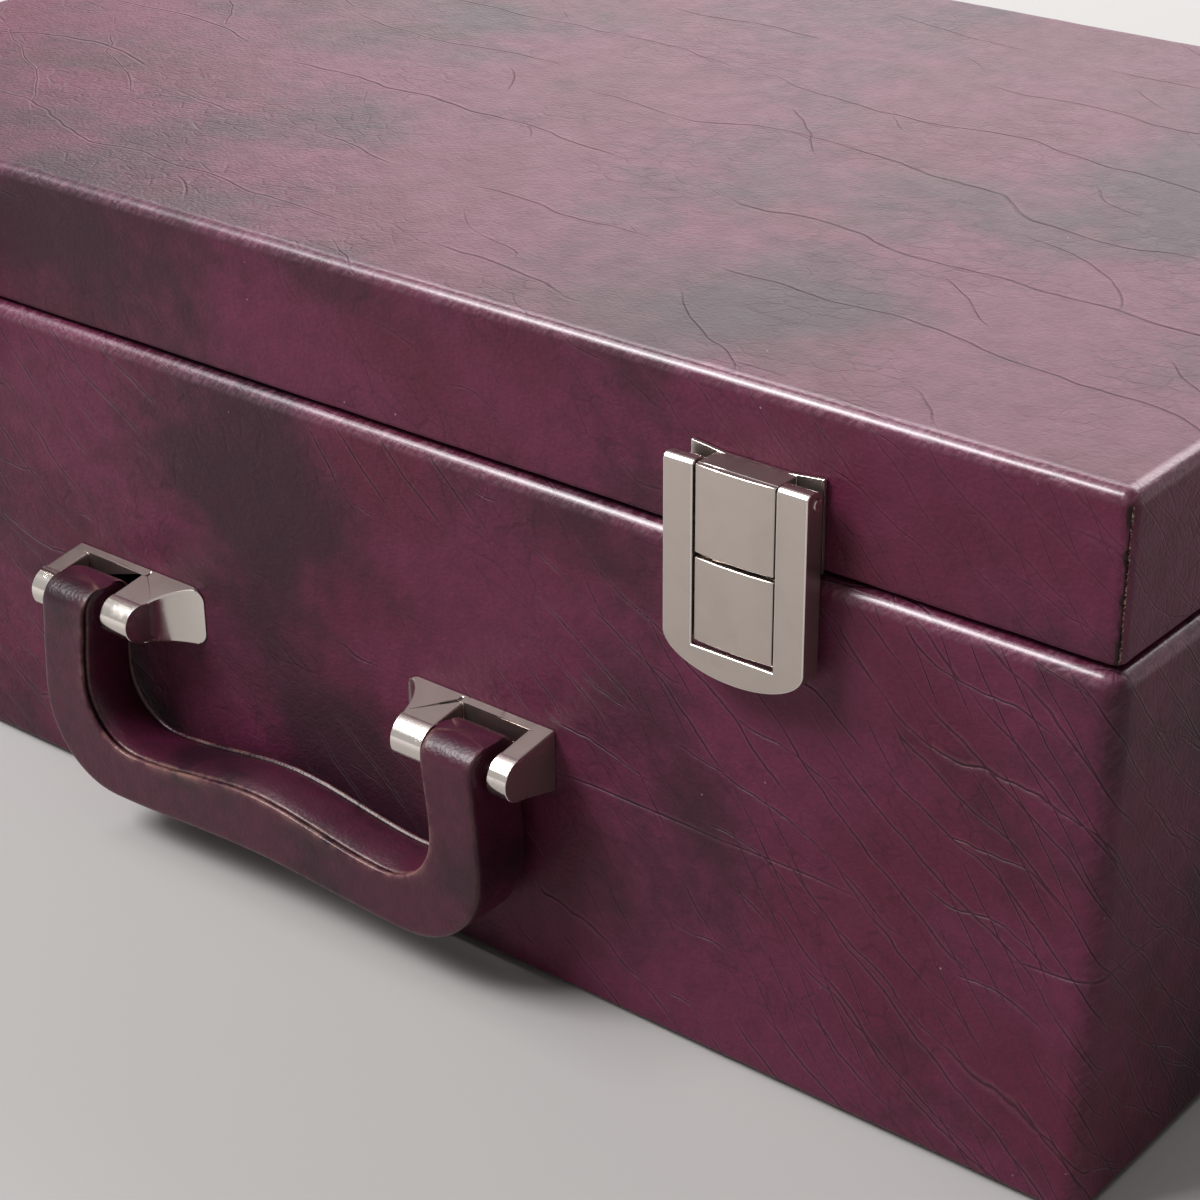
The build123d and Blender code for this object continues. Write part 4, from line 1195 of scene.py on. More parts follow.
@dataclass
class Cover(SubAssembly):
    """A leather cover over boards, with its edges rolled over a rim.

    Attributes:
        node: the CAD node that it stands for.
        body: the body that it moves with.
        half_x: half its width.
        half_y: half its depth.
        bottom: its lower edge.
        top: its upper edge.
        corner: the radius of its upright corners.
        low_round: the radius of its lower edges.
        high_round: the radius of its upper edges.
        open_low: half the width and depth of the opening underneath.
        open_high: half the width and depth of the opening above, or None if it is closed.
        butted: whether its corners have an open seam.
        thick: the leather's thickness.
        cloud_shift: where the marbling's clouds start, in millimetres.
        fold_height: the height of the long fold across the front of a whole cover.
        wave: how deep its surface waves.
        pitch: the distance between its cuts.
        corner_steps: how many faces round each upright corner.
        high_steps: how many faces round each upper edge.
        low_steps: how many faces round each lower edge.
        near: how near a point is to a plane that it counts as lying on.
        seam_depth: how far an open seam is pushed in along X and along Y.
        seam_foot: how far above the lower edge an open seam starts.
        pocket_reach: how deep the hinges' pockets go from the back, and how far their cutters
            stand out behind it.
        pocket_heights: from where to where the hinges' pockets reach up.
        pocket_room: the room beside each leaf.
    """

    node: str
    body: Body
    half_x: float
    half_y: float
    bottom: float
    top: float
    corner: float
    low_round: float
    high_round: float
    open_low: tuple[float, float]
    open_high: Optional[tuple[float, float]] = None
    butted: bool = False
    thick: float = 1.2 * MM
    cloud_shift: tuple[float, float, float] = (0, 0, 0)
    fold_height: float = 56.5
    wave: float = 0.42 * MM
    pitch: float = 4.0 * MM
    corner_steps: int = 8
    high_steps: int = 5
    low_steps: int = 4
    near: float = 0.05 * MM
    seam_depth: float = 0.3 * MM
    seam_foot: float = 0.3 * MM
    pocket_reach: tuple[float, float] = (9.3 * MM, 5.0 * MM)
    pocket_heights: tuple[float, float] = (123.04 * MM, 125.56 * MM)
    pocket_room: float = 0.1 * MM

    def build(self) -> Piece:
        """Makes the cover and gives it its finish.

        Returns:
            The cover.
        """
        piece = self.shell()
        self.bench.modify(piece, "SOLIDIFY", thickness=self.thick, offset=-1,
                          use_even_offset=True, shell_vertex_group=self.inner_group(piece))
        self.waves(piece)
        self.hinge_pockets(piece)
        self.bench.smooth(piece, angle=40, weighted=False)
        finish = MarbledLeather(
            self.node + "_marbled", self.half_x / MM, self.half_y / MM, self.top / MM,
            self.corner / MM, self.high_round / MM, self.butted,
            None if self.butted else self.fold_height, self.cloud_shift)
        piece.data.materials.append(finish.material())
        return self.put(piece, self.body, Slot.CASE_LEATHER, self.node)

    def shell(self) -> Piece:
        """The cover's outer surface, cut into a fine grid, with its openings.

        Returns:
            The surface as a piece.
        """
        low, high = self.bottom, self.top
        piece = self.bench.block(self.node + "_cover", (-self.half_x, -self.half_y, low),
                                 (self.half_x, self.half_y, high))
        bench = self.bench
        with bench.editing(piece):
            bench.round_edges(piece, lambda e: abs(e.verts[0].co.z - e.verts[1].co.z) > HAIR,
                              self.corner, self.corner_steps)
            bench.round_edges(piece, lambda e: min(v.co.z for v in e.verts) > high - HAIR,
                              self.high_round, self.high_steps)
            bench.round_edges(piece, lambda e: max(v.co.z for v in e.verts) < low + HAIR,
                              self.low_round, self.low_steps)
            for axis, half in ((0, self.half_x), (1, self.half_y)):
                bench.slice(axis, self.steps_between(self.corner - half, half - self.corner))
                for opening in filter(None, (self.open_low, self.open_high)):
                    bench.slice(axis, (-opening[axis], opening[axis]))
            bench.slice(2, self.steps_between(low + self.low_round, high - self.high_round))
            if bench.choose(piece, Pick.FACES, self.in_opening):
                bpy.ops.mesh.delete(type="FACE")
            if self.butted and bench.choose(piece, Pick.VERTICES, self.on_seam):
                self.open_seam(piece)
        return piece

    def steps_between(self, start: float, end: float) -> list[float]:
        """Places about a pitch apart, from start to end."""
        count = max(1, round((end - start) / self.pitch))
        return [start + (end - start) * step / count for step in range(count + 1)]

    def in_opening(self, face: bmesh.types.BMFace) -> bool:
        """Whether a face of the shell lies in an opening.

        Args:
            face: the face.

        Returns:
            Whether it does.
        """
        middle = face.calc_center_median()
        for opening, height in ((self.open_low, self.bottom), (self.open_high, self.top)):
            if opening and abs(middle.z - height) < self.near:
                if abs(middle.x) < opening[0] and abs(middle.y) < opening[1]:
                    return True
        return False

    def on_seam(self, vertex: bmesh.types.BMVert) -> bool:
        """Whether a vertex lies on the line of a corner's open seam.

        Args:
            vertex: the vertex.

        Returns:
            Whether it does.
        """
        end, face = self.half_x - abs(vertex.co.x), self.half_y - abs(vertex.co.y)
        on_line = abs(end - face) < self.near and end < 0.5 * self.corner
        foot, head = self.bottom + self.seam_foot, self.top - 1.2 * self.high_round
        return on_line and foot < vertex.co.z < head

    def open_seam(self, piece: Piece) -> None:
        """Pushes the seam's line in, at each corner.

        Args:
            piece: the cover, in edit mode.
        """
        mesh = bmesh.from_edit_mesh(piece.data)
        for vertex in mesh.verts:
            if vertex.select:
                vertex.co.x -= math.copysign(self.seam_depth, vertex.co.x)
                vertex.co.y -= math.copysign(self.seam_depth, vertex.co.y)
        bmesh.update_edit_mesh(piece.data)

    def inner_group(self, piece: Piece) -> str:
        """An empty vertex group for the leather's inner side."""
        return piece.vertex_groups.new(name="inner").name

    def waves(self, piece: Piece) -> None:
        """Lets the outer surface wave a little, inwards only.

        Args:
            piece: the cover.
        """
        for name, size, share in (("broad", 34, 0.6), ("short", 9, 0.4)):
            texture = bpy.data.textures.new(f"{self.node}_{name}_waves", "CLOUDS")
            texture.noise_scale = size * MM
            texture.noise_depth = 1
            self.bench.modify(piece, "DISPLACE", texture=texture, texture_coords="LOCAL",
                              mid_level=1.0, strength=share * self.wave, vertex_group="inner",
                              invert_vertex_group=True)

    def hinge_pockets(self, piece: Piece) -> None:
        """Cuts the room for the hinges' leaves.

        Args:
            piece: the cover.
        """
        for side in ("left", "right"):
            for leaf in ("body", "lid"):
                low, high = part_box(f"hinge_{leaf}_leaf_{side}")
                bottom, top = self.pocket_heights
                deep, behind = self.pocket_reach
                cutter = self.bench.block(
                    "pocket", (low.x - self.pocket_room, self.half_y - deep, bottom),
                    (high.x + self.pocket_room, self.half_y + behind, top))
                self.bench.modify(piece, "BOOLEAN", operation="DIFFERENCE", solver="EXACT",
                                  object=cutter)
                bpy.data.objects.remove(cutter)


@dataclass
class SectionPoint:
    """A point of the handle's cross-section.

    Attributes:
        share: its place between the inner outline, 0, and the outer outline, 1.
        inset: millimetres from there, away from the loop's middle.
        out: millimetres out from the front of the case.
        wear: how far it is rubbed pale.
        groove: how far it lies in the groove, where it is darkened with painted shade.
    """

    share: float
    inset: float
    out: float
    wear: float = 0.0
    groove: float = 0.0


@dataclass
class Handle(SubAssembly):
    """The moulded handle: flat outer panels with a padded inner side between two beads.

    Sizes are in millimetres. Heights are from the seam between body and lid.

    Attributes:
        leg_top: the height of the legs' tops.
        leg_inner: X of a leg's inner outline at its top and foot.
        leg_outer: X of a leg's outer outline at its top and foot.
        grip_inner: the height of the grip's inner outline, in the middle and at the corners.
        grip_outer: the height of the grip's outer outline, in the middle and at the corners.
        inner_radius: the radius of the inner outline's corners.
        outer_radius: the radius of the outer outline's corners.
        top_radius: the radius of the legs' rounded tops.
        back: how far its back is from the front of the case.
        face: how far its front is from the front of the case.
        pad_half: half the width of the padded side, to where its crown meets the outline.
        pad_crown: how far the padded side swells.
        grip_steps: how many stations half the grip has.
        bend_steps: how many steps each corner has.
    """

    leg_top: float = -58.0
    leg_inner: tuple[float, float] = (54.0, 56.2)
    leg_outer: tuple[float, float] = (68.6, 70.4)
    grip_inner: tuple[float, float] = (-92.5, -97.0)
    grip_outer: tuple[float, float] = (-108.4, -110.4)
    inner_radius: float = 15.0
    outer_radius: float = 22.0
    top_radius: float = 5.8
    back: float = 3.3
    face: float = 20.1
    pad_half: float = 6.6
    pad_crown: float = 0.95
    grip_steps: int = 12
    bend_steps: int = 12

    def section(self) -> list[SectionPoint]:
        """The cross-section, from the front panel's inner edge outwards and round.

        Returns:
            Its points in order.
        """
        face, back, middle = self.face, self.back, (self.face + self.back) / 2
        rows = [(0, 0.6, face, 0.5), (0, 1.7, face - 0.03, 0.1)]
        rows += [(share, 0, face - 0.06) for share in (0.25, 0.5, 0.75)]
        rows += [(1, -1.5, face - 0.03), (1, -0.65, face - 0.12, 0.15),
                 (1, -0.18, face - 0.5, 0.2), (1, 0, face - 1.3)]
        rows += [(1, 0, out) for out in (16.0, 12.5, 9.0, 5.8)]
        rows += [(1, -0.25, back + 0.9, 0.1), (1, -0.9, back + 0.2, 0.1), (1, -2.4, back)]
        rows += [(share, 0, back) for share in (0.75, 0.5, 0.25)]
        rows += [(0, 1.2, back, 0.2), (0, 0.45, back + 0.15, 0.8), (0, 0.05, back + 0.5, 1.0),
                 (0, 0.1, back + 0.95, 0.7), (0, 0.6, back + 1.25, 0, 0.8),
                 (0, 0.65, back + 1.6, 0, 0.6), (0, 0.3, back + 2.1, 0.1, 0.1)]
        rows += [(0, 0.25 - self.pad_crown * (1 - ((out - middle) / self.pad_half) ** 2), out)
                 for out in (7.2, 9.2, middle, 14.2, 15.9)]
        rows += [(0, 0.2, face - 3.0), (0, 0.28, face - 2.45, 0.7),
                 (0, 0.6, face - 2.15, 0.5, 0.3), (0, 1.25, face - 2.0, 0, 1),
                 (0, 1.45, face - 1.7, 0, 1), (0, 1.2, face - 1.4, 0, 1),
                 (0, 0.3, face - 1.2, 0.4, 0.3), (0, 0.02, face - 0.9, 1),
                 (0, 0.02, face - 0.5, 1), (0, 0.2, face - 0.12, 0.9)]
        return [SectionPoint(*row) for row in rows]

    def stations(self) -> list[tuple[Vector, Vector, float]]:
        """Pairs of points on the inner and outer outlines, with the depth left there.

        Returns:
            The inner point, the outer point and the share of the depth, from the left leg's
            top round to the right leg's top.
        """
        half_depth = (self.face - self.back) / 2
        right = []
        inner_end = self.grip_inner[1] + self.inner_radius
        outer_end = self.grip_outer[1] + self.outer_radius
        inner_x, outer_x = (self.leg_inner[1] - self.inner_radius,
                            self.leg_outer[1] - self.outer_radius)
        for step in range(self.grip_steps):
            share = step / self.grip_steps
            right.append((self.eased(0, inner_x, self.grip_inner, share),
                          self.eased(0, outer_x, self.grip_outer, share), 1.0))
        for step in range(self.bend_steps + 1):
            angle = math.radians(90 * step / self.bend_steps)
            turn = Vector((math.sin(angle), -math.cos(angle)))
            right.append((Vector((inner_x, inner_end)) + turn * self.inner_radius,
                          Vector((outer_x, outer_end)) + turn * self.outer_radius, 1.0))
        for share in (0.12, 0.26, 0.4, 0.54, 0.66):
            right.append((self.leg_point(self.leg_inner, inner_end, share),
                          self.leg_point(self.leg_outer, outer_end, share), 1.0))
        for angle in (0, 18, 36, 54, 70, 82, 90):
            turn = math.radians(angle)
            drop = self.top_radius * (1 - math.sin(turn))
            depth = (half_depth - self.top_radius * (1 - math.cos(turn))) / half_depth
            right.append((self.leg_point(self.leg_inner, inner_end, drop=drop),
                          self.leg_point(self.leg_outer, outer_end, drop=drop), depth))
        left = [(Vector((-a.x, a.y)), Vector((-b.x, b.y)), depth) for a, b, depth in right[:0:-1]]
        return left + right

    @staticmethod
    def eased(start: float, end: float, heights: tuple[float, float], share: float) -> Vector:
        """A point of a line that starts and ends level.

        Args:
            start: its first X.
            end: its last X.
            heights: its first and last height.
            share: the place along it, from 0 to 1.

        Returns:
            The point.
        """
        ease = share * share * (3 - 2 * share)
        return Vector((start + (end - start) * share,
                       heights[0] + (heights[1] - heights[0]) * ease))

    def leg_point(self, places: tuple[float, float], foot: float, share: float = 0.0,
                  drop: Optional[float] = None) -> Vector:
        """A point on a leg's outline.

        Args:
            places: the outline's X at the leg's top and foot.
            foot: the height of the leg's foot.
            share: the place from the foot, 0, to the top, 1.
            drop: the place as a distance below the top, which is used if it is given.

        Returns:
            The point.
        """
        length = self.leg_top - foot
        if drop is not None:
            share = 1 - drop / length
        ease = share * share * (3 - 2 * share)
        return Vector((places[1] + (places[0] - places[1]) * ease, foot + length * share))

    def build(self) -> Piece:
        """Makes the handle's leather.

        Returns:
            The leather.
        """
        section, stations = self.section(), self.stations()
        piece = self.bench.tube("handle_leather", len(section), len(stations))
        for name in ("wear", "groove"):
            piece.data.attributes.new(name, "FLOAT", "POINT")
        wear, groove = (piece.data.attributes[name] for name in ("wear", "groove"))
        middle = (self.face + self.back) / 2
        for vertex in piece.data.vertices:
            turn = math.atan2(vertex.co.x, vertex.co.y) / math.tau
            point = section[round(turn * len(section)) % len(section)]
            inner, outer, depth = stations[round(vertex.co.z)]
            away = (outer - inner).normalized()
            spot = inner + (outer - inner) * point.share + away * point.inset
            out = middle + (point.out - middle) * depth
            vertex.co = Vector((spot.x * MM, FRONT - out * MM, SEAM + spot.y * MM))
            wear.data[vertex.index].value = point.wear
            groove.data[vertex.index].value = point.groove
        self.bench.face_out(piece)
        self.bench.modify(piece, "SUBSURF", levels=1, render_levels=1)
        self.bench.smooth(piece, angle=50, weighted=False)
        piece.data.materials.append(SLOT_FINISHES[Slot.HANDLE_LEATHER].material())
        return self.put(piece, Body.HANDLE, Slot.HANDLE_LEATHER, "handle_cover")


@dataclass
class Bracket(SubAssembly):
    """A nickel bracket with a flared foot and two arms round a leg of the handle.

    Attributes:
        side: the side that it is on.
        edge: the width of its rounded edges.
        tip_out: how far from the front of the case its round tips start.
        pin_out: how far the handle's pin is from the front of the case.
        pin_drop: how far the handle's pin is below the seam.
        bore: the reach of the bore for the pin.
        foot: how far edges on the case may be from it and still stay sharp.
        horn_round: the radius of the horn's corners, seen from the front.
        horn_steps: how many faces round each of those corners.
        horn_from: how near to the middle of the case the horn starts.
    """

    side: Side
    edge: float = 0.22 * MM
    tip_out: float = 11.0 * MM
    pin_out: float = 11.6 * MM
    pin_drop: float = 64.5 * MM
    bore: float = 2.1 * MM
    foot: float = 0.6 * MM
    horn_round: float = 3.4 * MM
    horn_steps: int = 8
    horn_from: float = 44.0 * MM

    def build(self) -> Piece:
        """Makes the bracket with satin faces, and bright tips, horn and edges.

        Returns:
            The bracket.
        """
        node = "bracket_" + self.side.name.lower()
        piece = self.soften(node, self.edge, (SATIN_NICKEL, POLISHED_NICKEL), steps=3,
                            spared=self.at_pin, bright=self.polished, shape=self.round_horn)
        return self.put(piece, Body.CASE, Slot.NICKEL, node)

    def round_horn(self, piece: Piece) -> None:
        """Rounds the horn's end, seen from the front.

        Args:
            piece: the copy of the CAD bracket.
        """
        low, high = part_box("bracket_" + self.side.name.lower())
        room = 5 * MM
        inner = low.x if self.side is Side.RIGHT else high.x
        outline = self.bench.block("horn_outline", (low.x, low.y - room, low.z),
                                   (high.x, high.y + room, high.z))

        def at_inner_end(edge: bmesh.types.BMEdge) -> bool:
            """Whether an edge of the outline runs from front to back at its inner end.

            Args:
                edge: the edge.

            Returns:
                Whether it does.
            """
            first, last = (vertex.co for vertex in edge.verts)
            inside = max(abs(first.x - inner), abs(last.x - inner)) < HAIR
            return inside and abs(first.y - last.y) > room

        with self.bench.editing(outline):
            self.bench.round_edges(outline, at_inner_end, self.horn_round, self.horn_steps)
        self.bench.modify(piece, "BOOLEAN", operation="INTERSECT", solver="EXACT",
                          object=outline)
        bpy.data.objects.remove(outline)

    def at_pin(self, edge: bmesh.types.BMEdge) -> bool:
        """Whether an edge is part of the bore for the handle's pin, or lies on the case.

        Args:
            edge: the edge.

        Returns:
            Whether it stays sharp.
        """
        if all(v.co.y > FRONT - self.foot for v in edge.verts):
            return True
        y, z = FRONT - self.pin_out, SEAM - self.pin_drop
        return all(math.hypot(v.co.y - y, v.co.z - z) < self.bore for v in edge.verts)

    def polished(self, face: bmesh.types.BMFace) -> bool:
        """Whether a face is part of a round tip or of the horn's curved side.

        Args:
            face: the face.

        Returns:
            Whether it is polished.
        """
        middle = face.calc_center_median()
        tip = middle.y < FRONT - self.tip_out and abs(face.normal.x) < 0.5
        inward = -self.side.value * face.normal.x > 0.12 and abs(face.normal.z) < 0.8
        return tip or (inward and abs(middle.x) < self.horn_from)


@dataclass
class Latch(SubAssembly):
    """A nickel latch: a hinged hasp over a block on the lid and a block on the body.

    Attributes:
        side: the side that it is on.
        centre: how far it is from the middle of the case.
        edge: the width of the plates' rounded edges.
        hasp_edge: the width of the hasp's rounded edges.
        hasp_bright: the height above the seam from which the hasp's arms are polished.
        plate_out: how far the plates reach out from the case, at most.
        face_out: how far the blocks' faces are out from the case, at least.
        block_half: half the width of the blocks.
        block_wider: how much is added at each side of them.
        block_proud: how far their faces are brought out.
        block_foot: the height of the lower block's foot above the seam.
        block_lower: how much is added there.
        block_top: the height that the upper block is trimmed to.
        plate_half: the half width that the plates are trimmed to.
        bulge: how far the blocks' faces bulge.
        crown: the share of the bulge that is above the flat face, in the middle.
        strips: how many strips the bulge has.
    """

    side: Side
    centre: float = 128.0 * MM
    edge: float = 0.16 * MM
    hasp_edge: float = 0.3 * MM
    hasp_bright: float = 18.4 * MM
    plate_out: float = 1.5 * MM
    face_out: float = 6.0 * MM
    block_half: float = 9.5 * MM
    block_wider: float = 0.1 * MM
    block_proud: float = 0.9 * MM
    block_foot: float = -18.5 * MM
    block_lower: float = 0.65 * MM
    block_top: float = 20.0 * MM
    plate_half: float = 15.9 * MM
    bulge: float = 0.55 * MM
    crown: float = 0.7
    strips: int = 10

    def build(self) -> None:
        """Makes the hasp and the two plates."""
        word = self.side.name.lower()
        metals = (SATIN_NICKEL, POLISHED_NICKEL)
        hasp = self.soften("hasp_" + word, self.hasp_edge, metals, steps=3,
                           bright=self.hasp_top)
        self.put(hasp, Body["HASP_" + self.side.name], Slot.NICKEL, "hasp_" + word)
        for node, body in (("lid_plate_", Body.LID), ("catch_plate_", Body.CASE)):
            piece = self.soften(node + word, self.edge, metals, shape=self.shape_block)
            self.put(piece, body, Slot.NICKEL, node + word)

    def hasp_top(self, face: bmesh.types.BMFace) -> bool:
        """Whether a face is on the rounded tops of the hasp's arms."""
        middle = face.calc_center_median()
        return middle.z > SEAM + self.hasp_bright and face.normal.z > 0.25

    def shape_block(self, piece: Piece) -> None:
        """Trims the plate and gives the block its slightly bulged face.

        Args:
            piece: the copy of a CAD plate with its block.
        """
        centre = self.side.value * self.centre
        reach, hair = self.block_half, 2 * HAIR
        with self.bench.editing(piece):
            self.bench.slice(0, [centre - reach + 2 * reach * step / self.strips
                                 for step in range(1, self.strips)])
        for vertex in piece.data.vertices:
            across = vertex.co.x - centre
            out, up = FRONT - vertex.co.y, vertex.co.z - SEAM
            if abs(across) > self.plate_half:
                vertex.co.x = centre + math.copysign(self.plate_half, across)
            if abs(across) > self.block_half + hair:
                continue
            if up > self.block_top + hair:
                vertex.co.z = SEAM + self.block_top
            if out > self.plate_out:
                share = across / self.block_half
                vertex.co.x += share * self.block_wider
                if abs(up - self.block_foot) < hair:
                    vertex.co.z -= self.block_lower
                if out > self.face_out:
                    raised = self.bulge * (self.crown - share * share)
                    vertex.co.y -= self.block_proud + raised


@dataclass
class Hinge(SubAssembly):
    """A nickel stop hinge at the back.

    Attributes:
        side: the side that it is on.
        edge: the width of its rounded edges.
    """

    side: Side
    edge: float = 0.18 * MM

    def build(self) -> None:
        """Makes the two leaves."""
        word = self.side.name.lower()
        for leaf, body in (("hinge_body_leaf_", Body.CASE), ("hinge_lid_leaf_", Body.LID)):
            piece = self.soften(leaf + word, self.edge, (SATIN_NICKEL, POLISHED_NICKEL))
            self.put(piece, body, Slot.NICKEL, leaf + word)


@dataclass
class VelvetFittings(SubAssembly):
    """The velvet-covered cards in the case, the lid and the tray.

    Attributes:
        nodes: the CAD nodes on each body.
        soft_edge: the width of most cards' rounded edges.
        thin_edge: the width of the thin cards' rounded edges.
        thin_nodes: the thin cards.
    """

    nodes: Mapping[Body, Sequence[str]] = field(default_factory=lambda: {
        Body.CASE: ("liner_front", "liner_back", "liner_left", "liner_right", "lower_card",
                    "lower_dividers", "tray_rests"),
        Body.LID: ("lid_rail_lining",),
        Body.TRAY: ("tray_front", "tray_back", "tray_left", "tray_right", "tray_card",
                    "tray_dividers"),
    })
    soft_edge: float = 0.8 * MM
    thin_edge: float = 0.18 * MM
    thin_nodes: Sequence[str] = ("lid_rail_lining", "lower_card", "tray_card")

    def build(self) -> None:
        """Makes each card with softly rounded edges."""
        for body, nodes in self.nodes.items():
            for node in nodes:
                width = self.thin_edge if node in self.thin_nodes else self.soft_edge
                piece = self.soften(node, width, (VELVET,), steps=3)
                self.put(piece, body, Slot.VELVET, node)


@dataclass
class LidPad(SubAssembly):
    """The padded velvet panel under the lid's top board.

    Attributes:
        pitch: the size of the cloth's squares.
        start_thickness: the panel's thickness before it swells.
        glued: the height of its glued side, from the board down.
        most_swell: how far a point may move.
        gap: the room beside it.
        pressure: the pressure that swells it.
        frames: how many steps the swelling takes.
        fill: how full it is, from slack to tight, which is not used.
    """

    pitch: float = 7.0 * MM
    start_thickness: float = 1.6 * MM
    glued: float = 0.2 * MM
    most_swell: float = 1.45 * MM
    gap: float = 0.05 * MM
    pressure: float = 4.0
    frames: int = 20
    fill: float = 0.7

    def build(self) -> Piece:
        """Makes the panel, swells it and gives it its finish.

        Returns:
            The panel.
        """
        low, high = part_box("lid_pad")
        flat = Vector((low.x + self.gap, low.y + self.gap, high.z - self.start_thickness))
        piece = self.bench.block("lid_padding", flat,
                                 (high.x - self.gap, high.y - self.gap, high.z))
        with self.bench.editing(piece):
            for axis in (0, 1):
                count = round((high[axis] - low[axis]) / self.pitch)
                span = high[axis] - low[axis] - 2 * self.gap
                self.bench.slice(axis, [flat[axis] + span * step / count
                                        for step in range(1, count)])
        self.swell(piece, high.z - self.glued)
        self.bench.modify(piece, "SUBSURF", levels=1, render_levels=1)
        self.bench.smooth(piece, angle=60, weighted=False)
        piece.data.materials.append(VELVET.material())
        self.put(piece, Body.LID, Slot.VELVET, "lid_pad")
        return piece

    def swell(self, piece: Piece, ceiling: float) -> None:
        """Swells the panel as cloth under pressure, with its glued side held.

        Args:
            piece: the flat panel.
            ceiling: vertices above this height are glued to the board.
        """
        start = [vertex.co.copy() for vertex in piece.data.vertices]
        held = piece.vertex_groups.new(name="glued")
        held.add([i for i, co in enumerate(start) if co.z > ceiling], 1.0, "REPLACE")
        cloth = piece.modifiers.new("cloth", "CLOTH")
        cloth.settings.vertex_group_mass = "glued"
        cloth.settings.use_pressure = True
        cloth.settings.uniform_pressure_force = self.pressure
        cloth.settings.effector_weights.gravity = 0
        cloth.point_cache.frame_start, cloth.point_cache.frame_end = 1, self.frames
        for step in range(1, self.frames + 1):
            bpy.context.scene.frame_set(step)
        self.bench.take(piece)
        bpy.ops.object.modifier_apply(modifier=cloth.name)
        bpy.context.scene.frame_set(1)
        for vertex, before in zip(piece.data.vertices, start):
            move = vertex.co - before
            if move.length > self.most_swell:
                vertex.co = before + move.normalized() * self.most_swell


@dataclass
class RibbonLoop(SubAssembly):
    """A loop of satin ribbon above an end wall of the tray.

    Attributes:
        side: the side that it is on.
        thick: the ribbon's thickness.
        half_gap: how far each leg's middle is from the wall's middle.
        selvedge: the room beside the ribbon.
        foot: how far its lower ends are above the CAD ribbon's.
        throat: where the legs part, in radii below the loop's middle.
        narrow: how much narrower than a circle the loop is at its foot, as a share.
        drop: how much longer than a circle the loop is at its foot, as a share.
        rise_steps: how many steps each leg has.
        loop_steps: how many steps the loop has.
    """

    side: Side
    thick: float = 0.5 * MM
    half_gap: float = 0.35 * MM
    selvedge: float = 0.2 * MM
    foot: float = 0.4 * MM
    throat: float = 1.25
    narrow: float = 0.38
    drop: float = 0.12
    rise_steps: int = 6
    loop_steps: int = 24

    def build(self) -> Piece:
        """Makes the loop as one long folded strip.

        Returns:
            The loop.
        """
        low, high = self.own_box()
        front, back = low.y + self.selvedge, high.y - self.selvedge
        path = self.path(low, high)
        steps = len(path) - 1
        self.bench.clear()
        bpy.ops.mesh.primitive_grid_add(x_subdivisions=steps, y_subdivisions=4, size=2)
        piece = self.bench.settle("ribbon_loop_" + self.side.name.lower())
        for vertex in piece.data.vertices:
            x, z = path[round((vertex.co.x + 1) / 2 * steps)]
            vertex.co = Vector((x, front + (back - front) * (vertex.co.y + 1) / 2, z))
        self.bench.modify(piece, "SOLIDIFY", thickness=self.thick, offset=0,
                          use_even_offset=True)
        self.bench.modify(piece, "SUBSURF", levels=1, render_levels=1)
        self.bench.smooth(piece, angle=60, weighted=False)
        piece.data.materials.append(SLOT_FINISHES[Slot.RIBBON].material())
        return self.put(piece, Body.TRAY, Slot.RIBBON, "tray_ribbons")

    def own_box(self) -> tuple[Vector, Vector]:
        """The box of this side's CAD ribbon.

        Returns:
            Its lowest and its highest corner.
        """
        mesh = frame["nodes"]["tray_ribbons"].data
        own = [v.co for v in mesh.vertices if v.co.x * self.side.value > 0]
        return (Vector([min(co[axis] for co in own) for axis in range(3)]),
                Vector([max(co[axis] for co in own) for axis in range(3)]))

    def path(self, low: Vector, high: Vector) -> list[tuple[float, float]]:
        """The strip's line seen from the front: up the wall, round the loop and down again.

        Args:
            low: the lowest corner of the CAD ribbon.
            high: its highest corner.

        Returns:
            X and height of each point.
        """
        radius = (high.x - low.x) / 2 - self.thick / 2
        x, z = (low.x + high.x) / 2, high.z - radius - self.thick / 2
        foot, throat = low.z + self.foot, z - self.throat * radius
        rise = [foot + (throat - foot) * step / self.rise_steps
                for step in range(self.rise_steps + 1)]
        loop = []
        for step in range(1, self.loop_steps):
            angle = math.tau * step / self.loop_steps
            at_foot = 0.5 + 0.5 * math.cos(angle)
            loop.append((x + radius * math.sin(angle) * (1 - self.narrow * at_foot),
                         z - radius * math.cos(angle) * (1 + self.drop * at_foot)))
        up = [(x + self.half_gap, height) for height in rise]
        down = [(x - self.half_gap, height) for height in reversed(rise)]
        return up + loop + down


@dataclass(frozen=True)
class Softbox:
    """A rectangular soft light aimed at the case.

    Attributes:
        name: its name.
        place: where it is.
        size: its width and height.
        watts: its strength.
        turn: how far it is turned about its own axis, in degrees.
    """

    name: str
    place: tuple[float, float, float]
    size: tuple[float, float]
    watts: float
    turn: float = 0.0


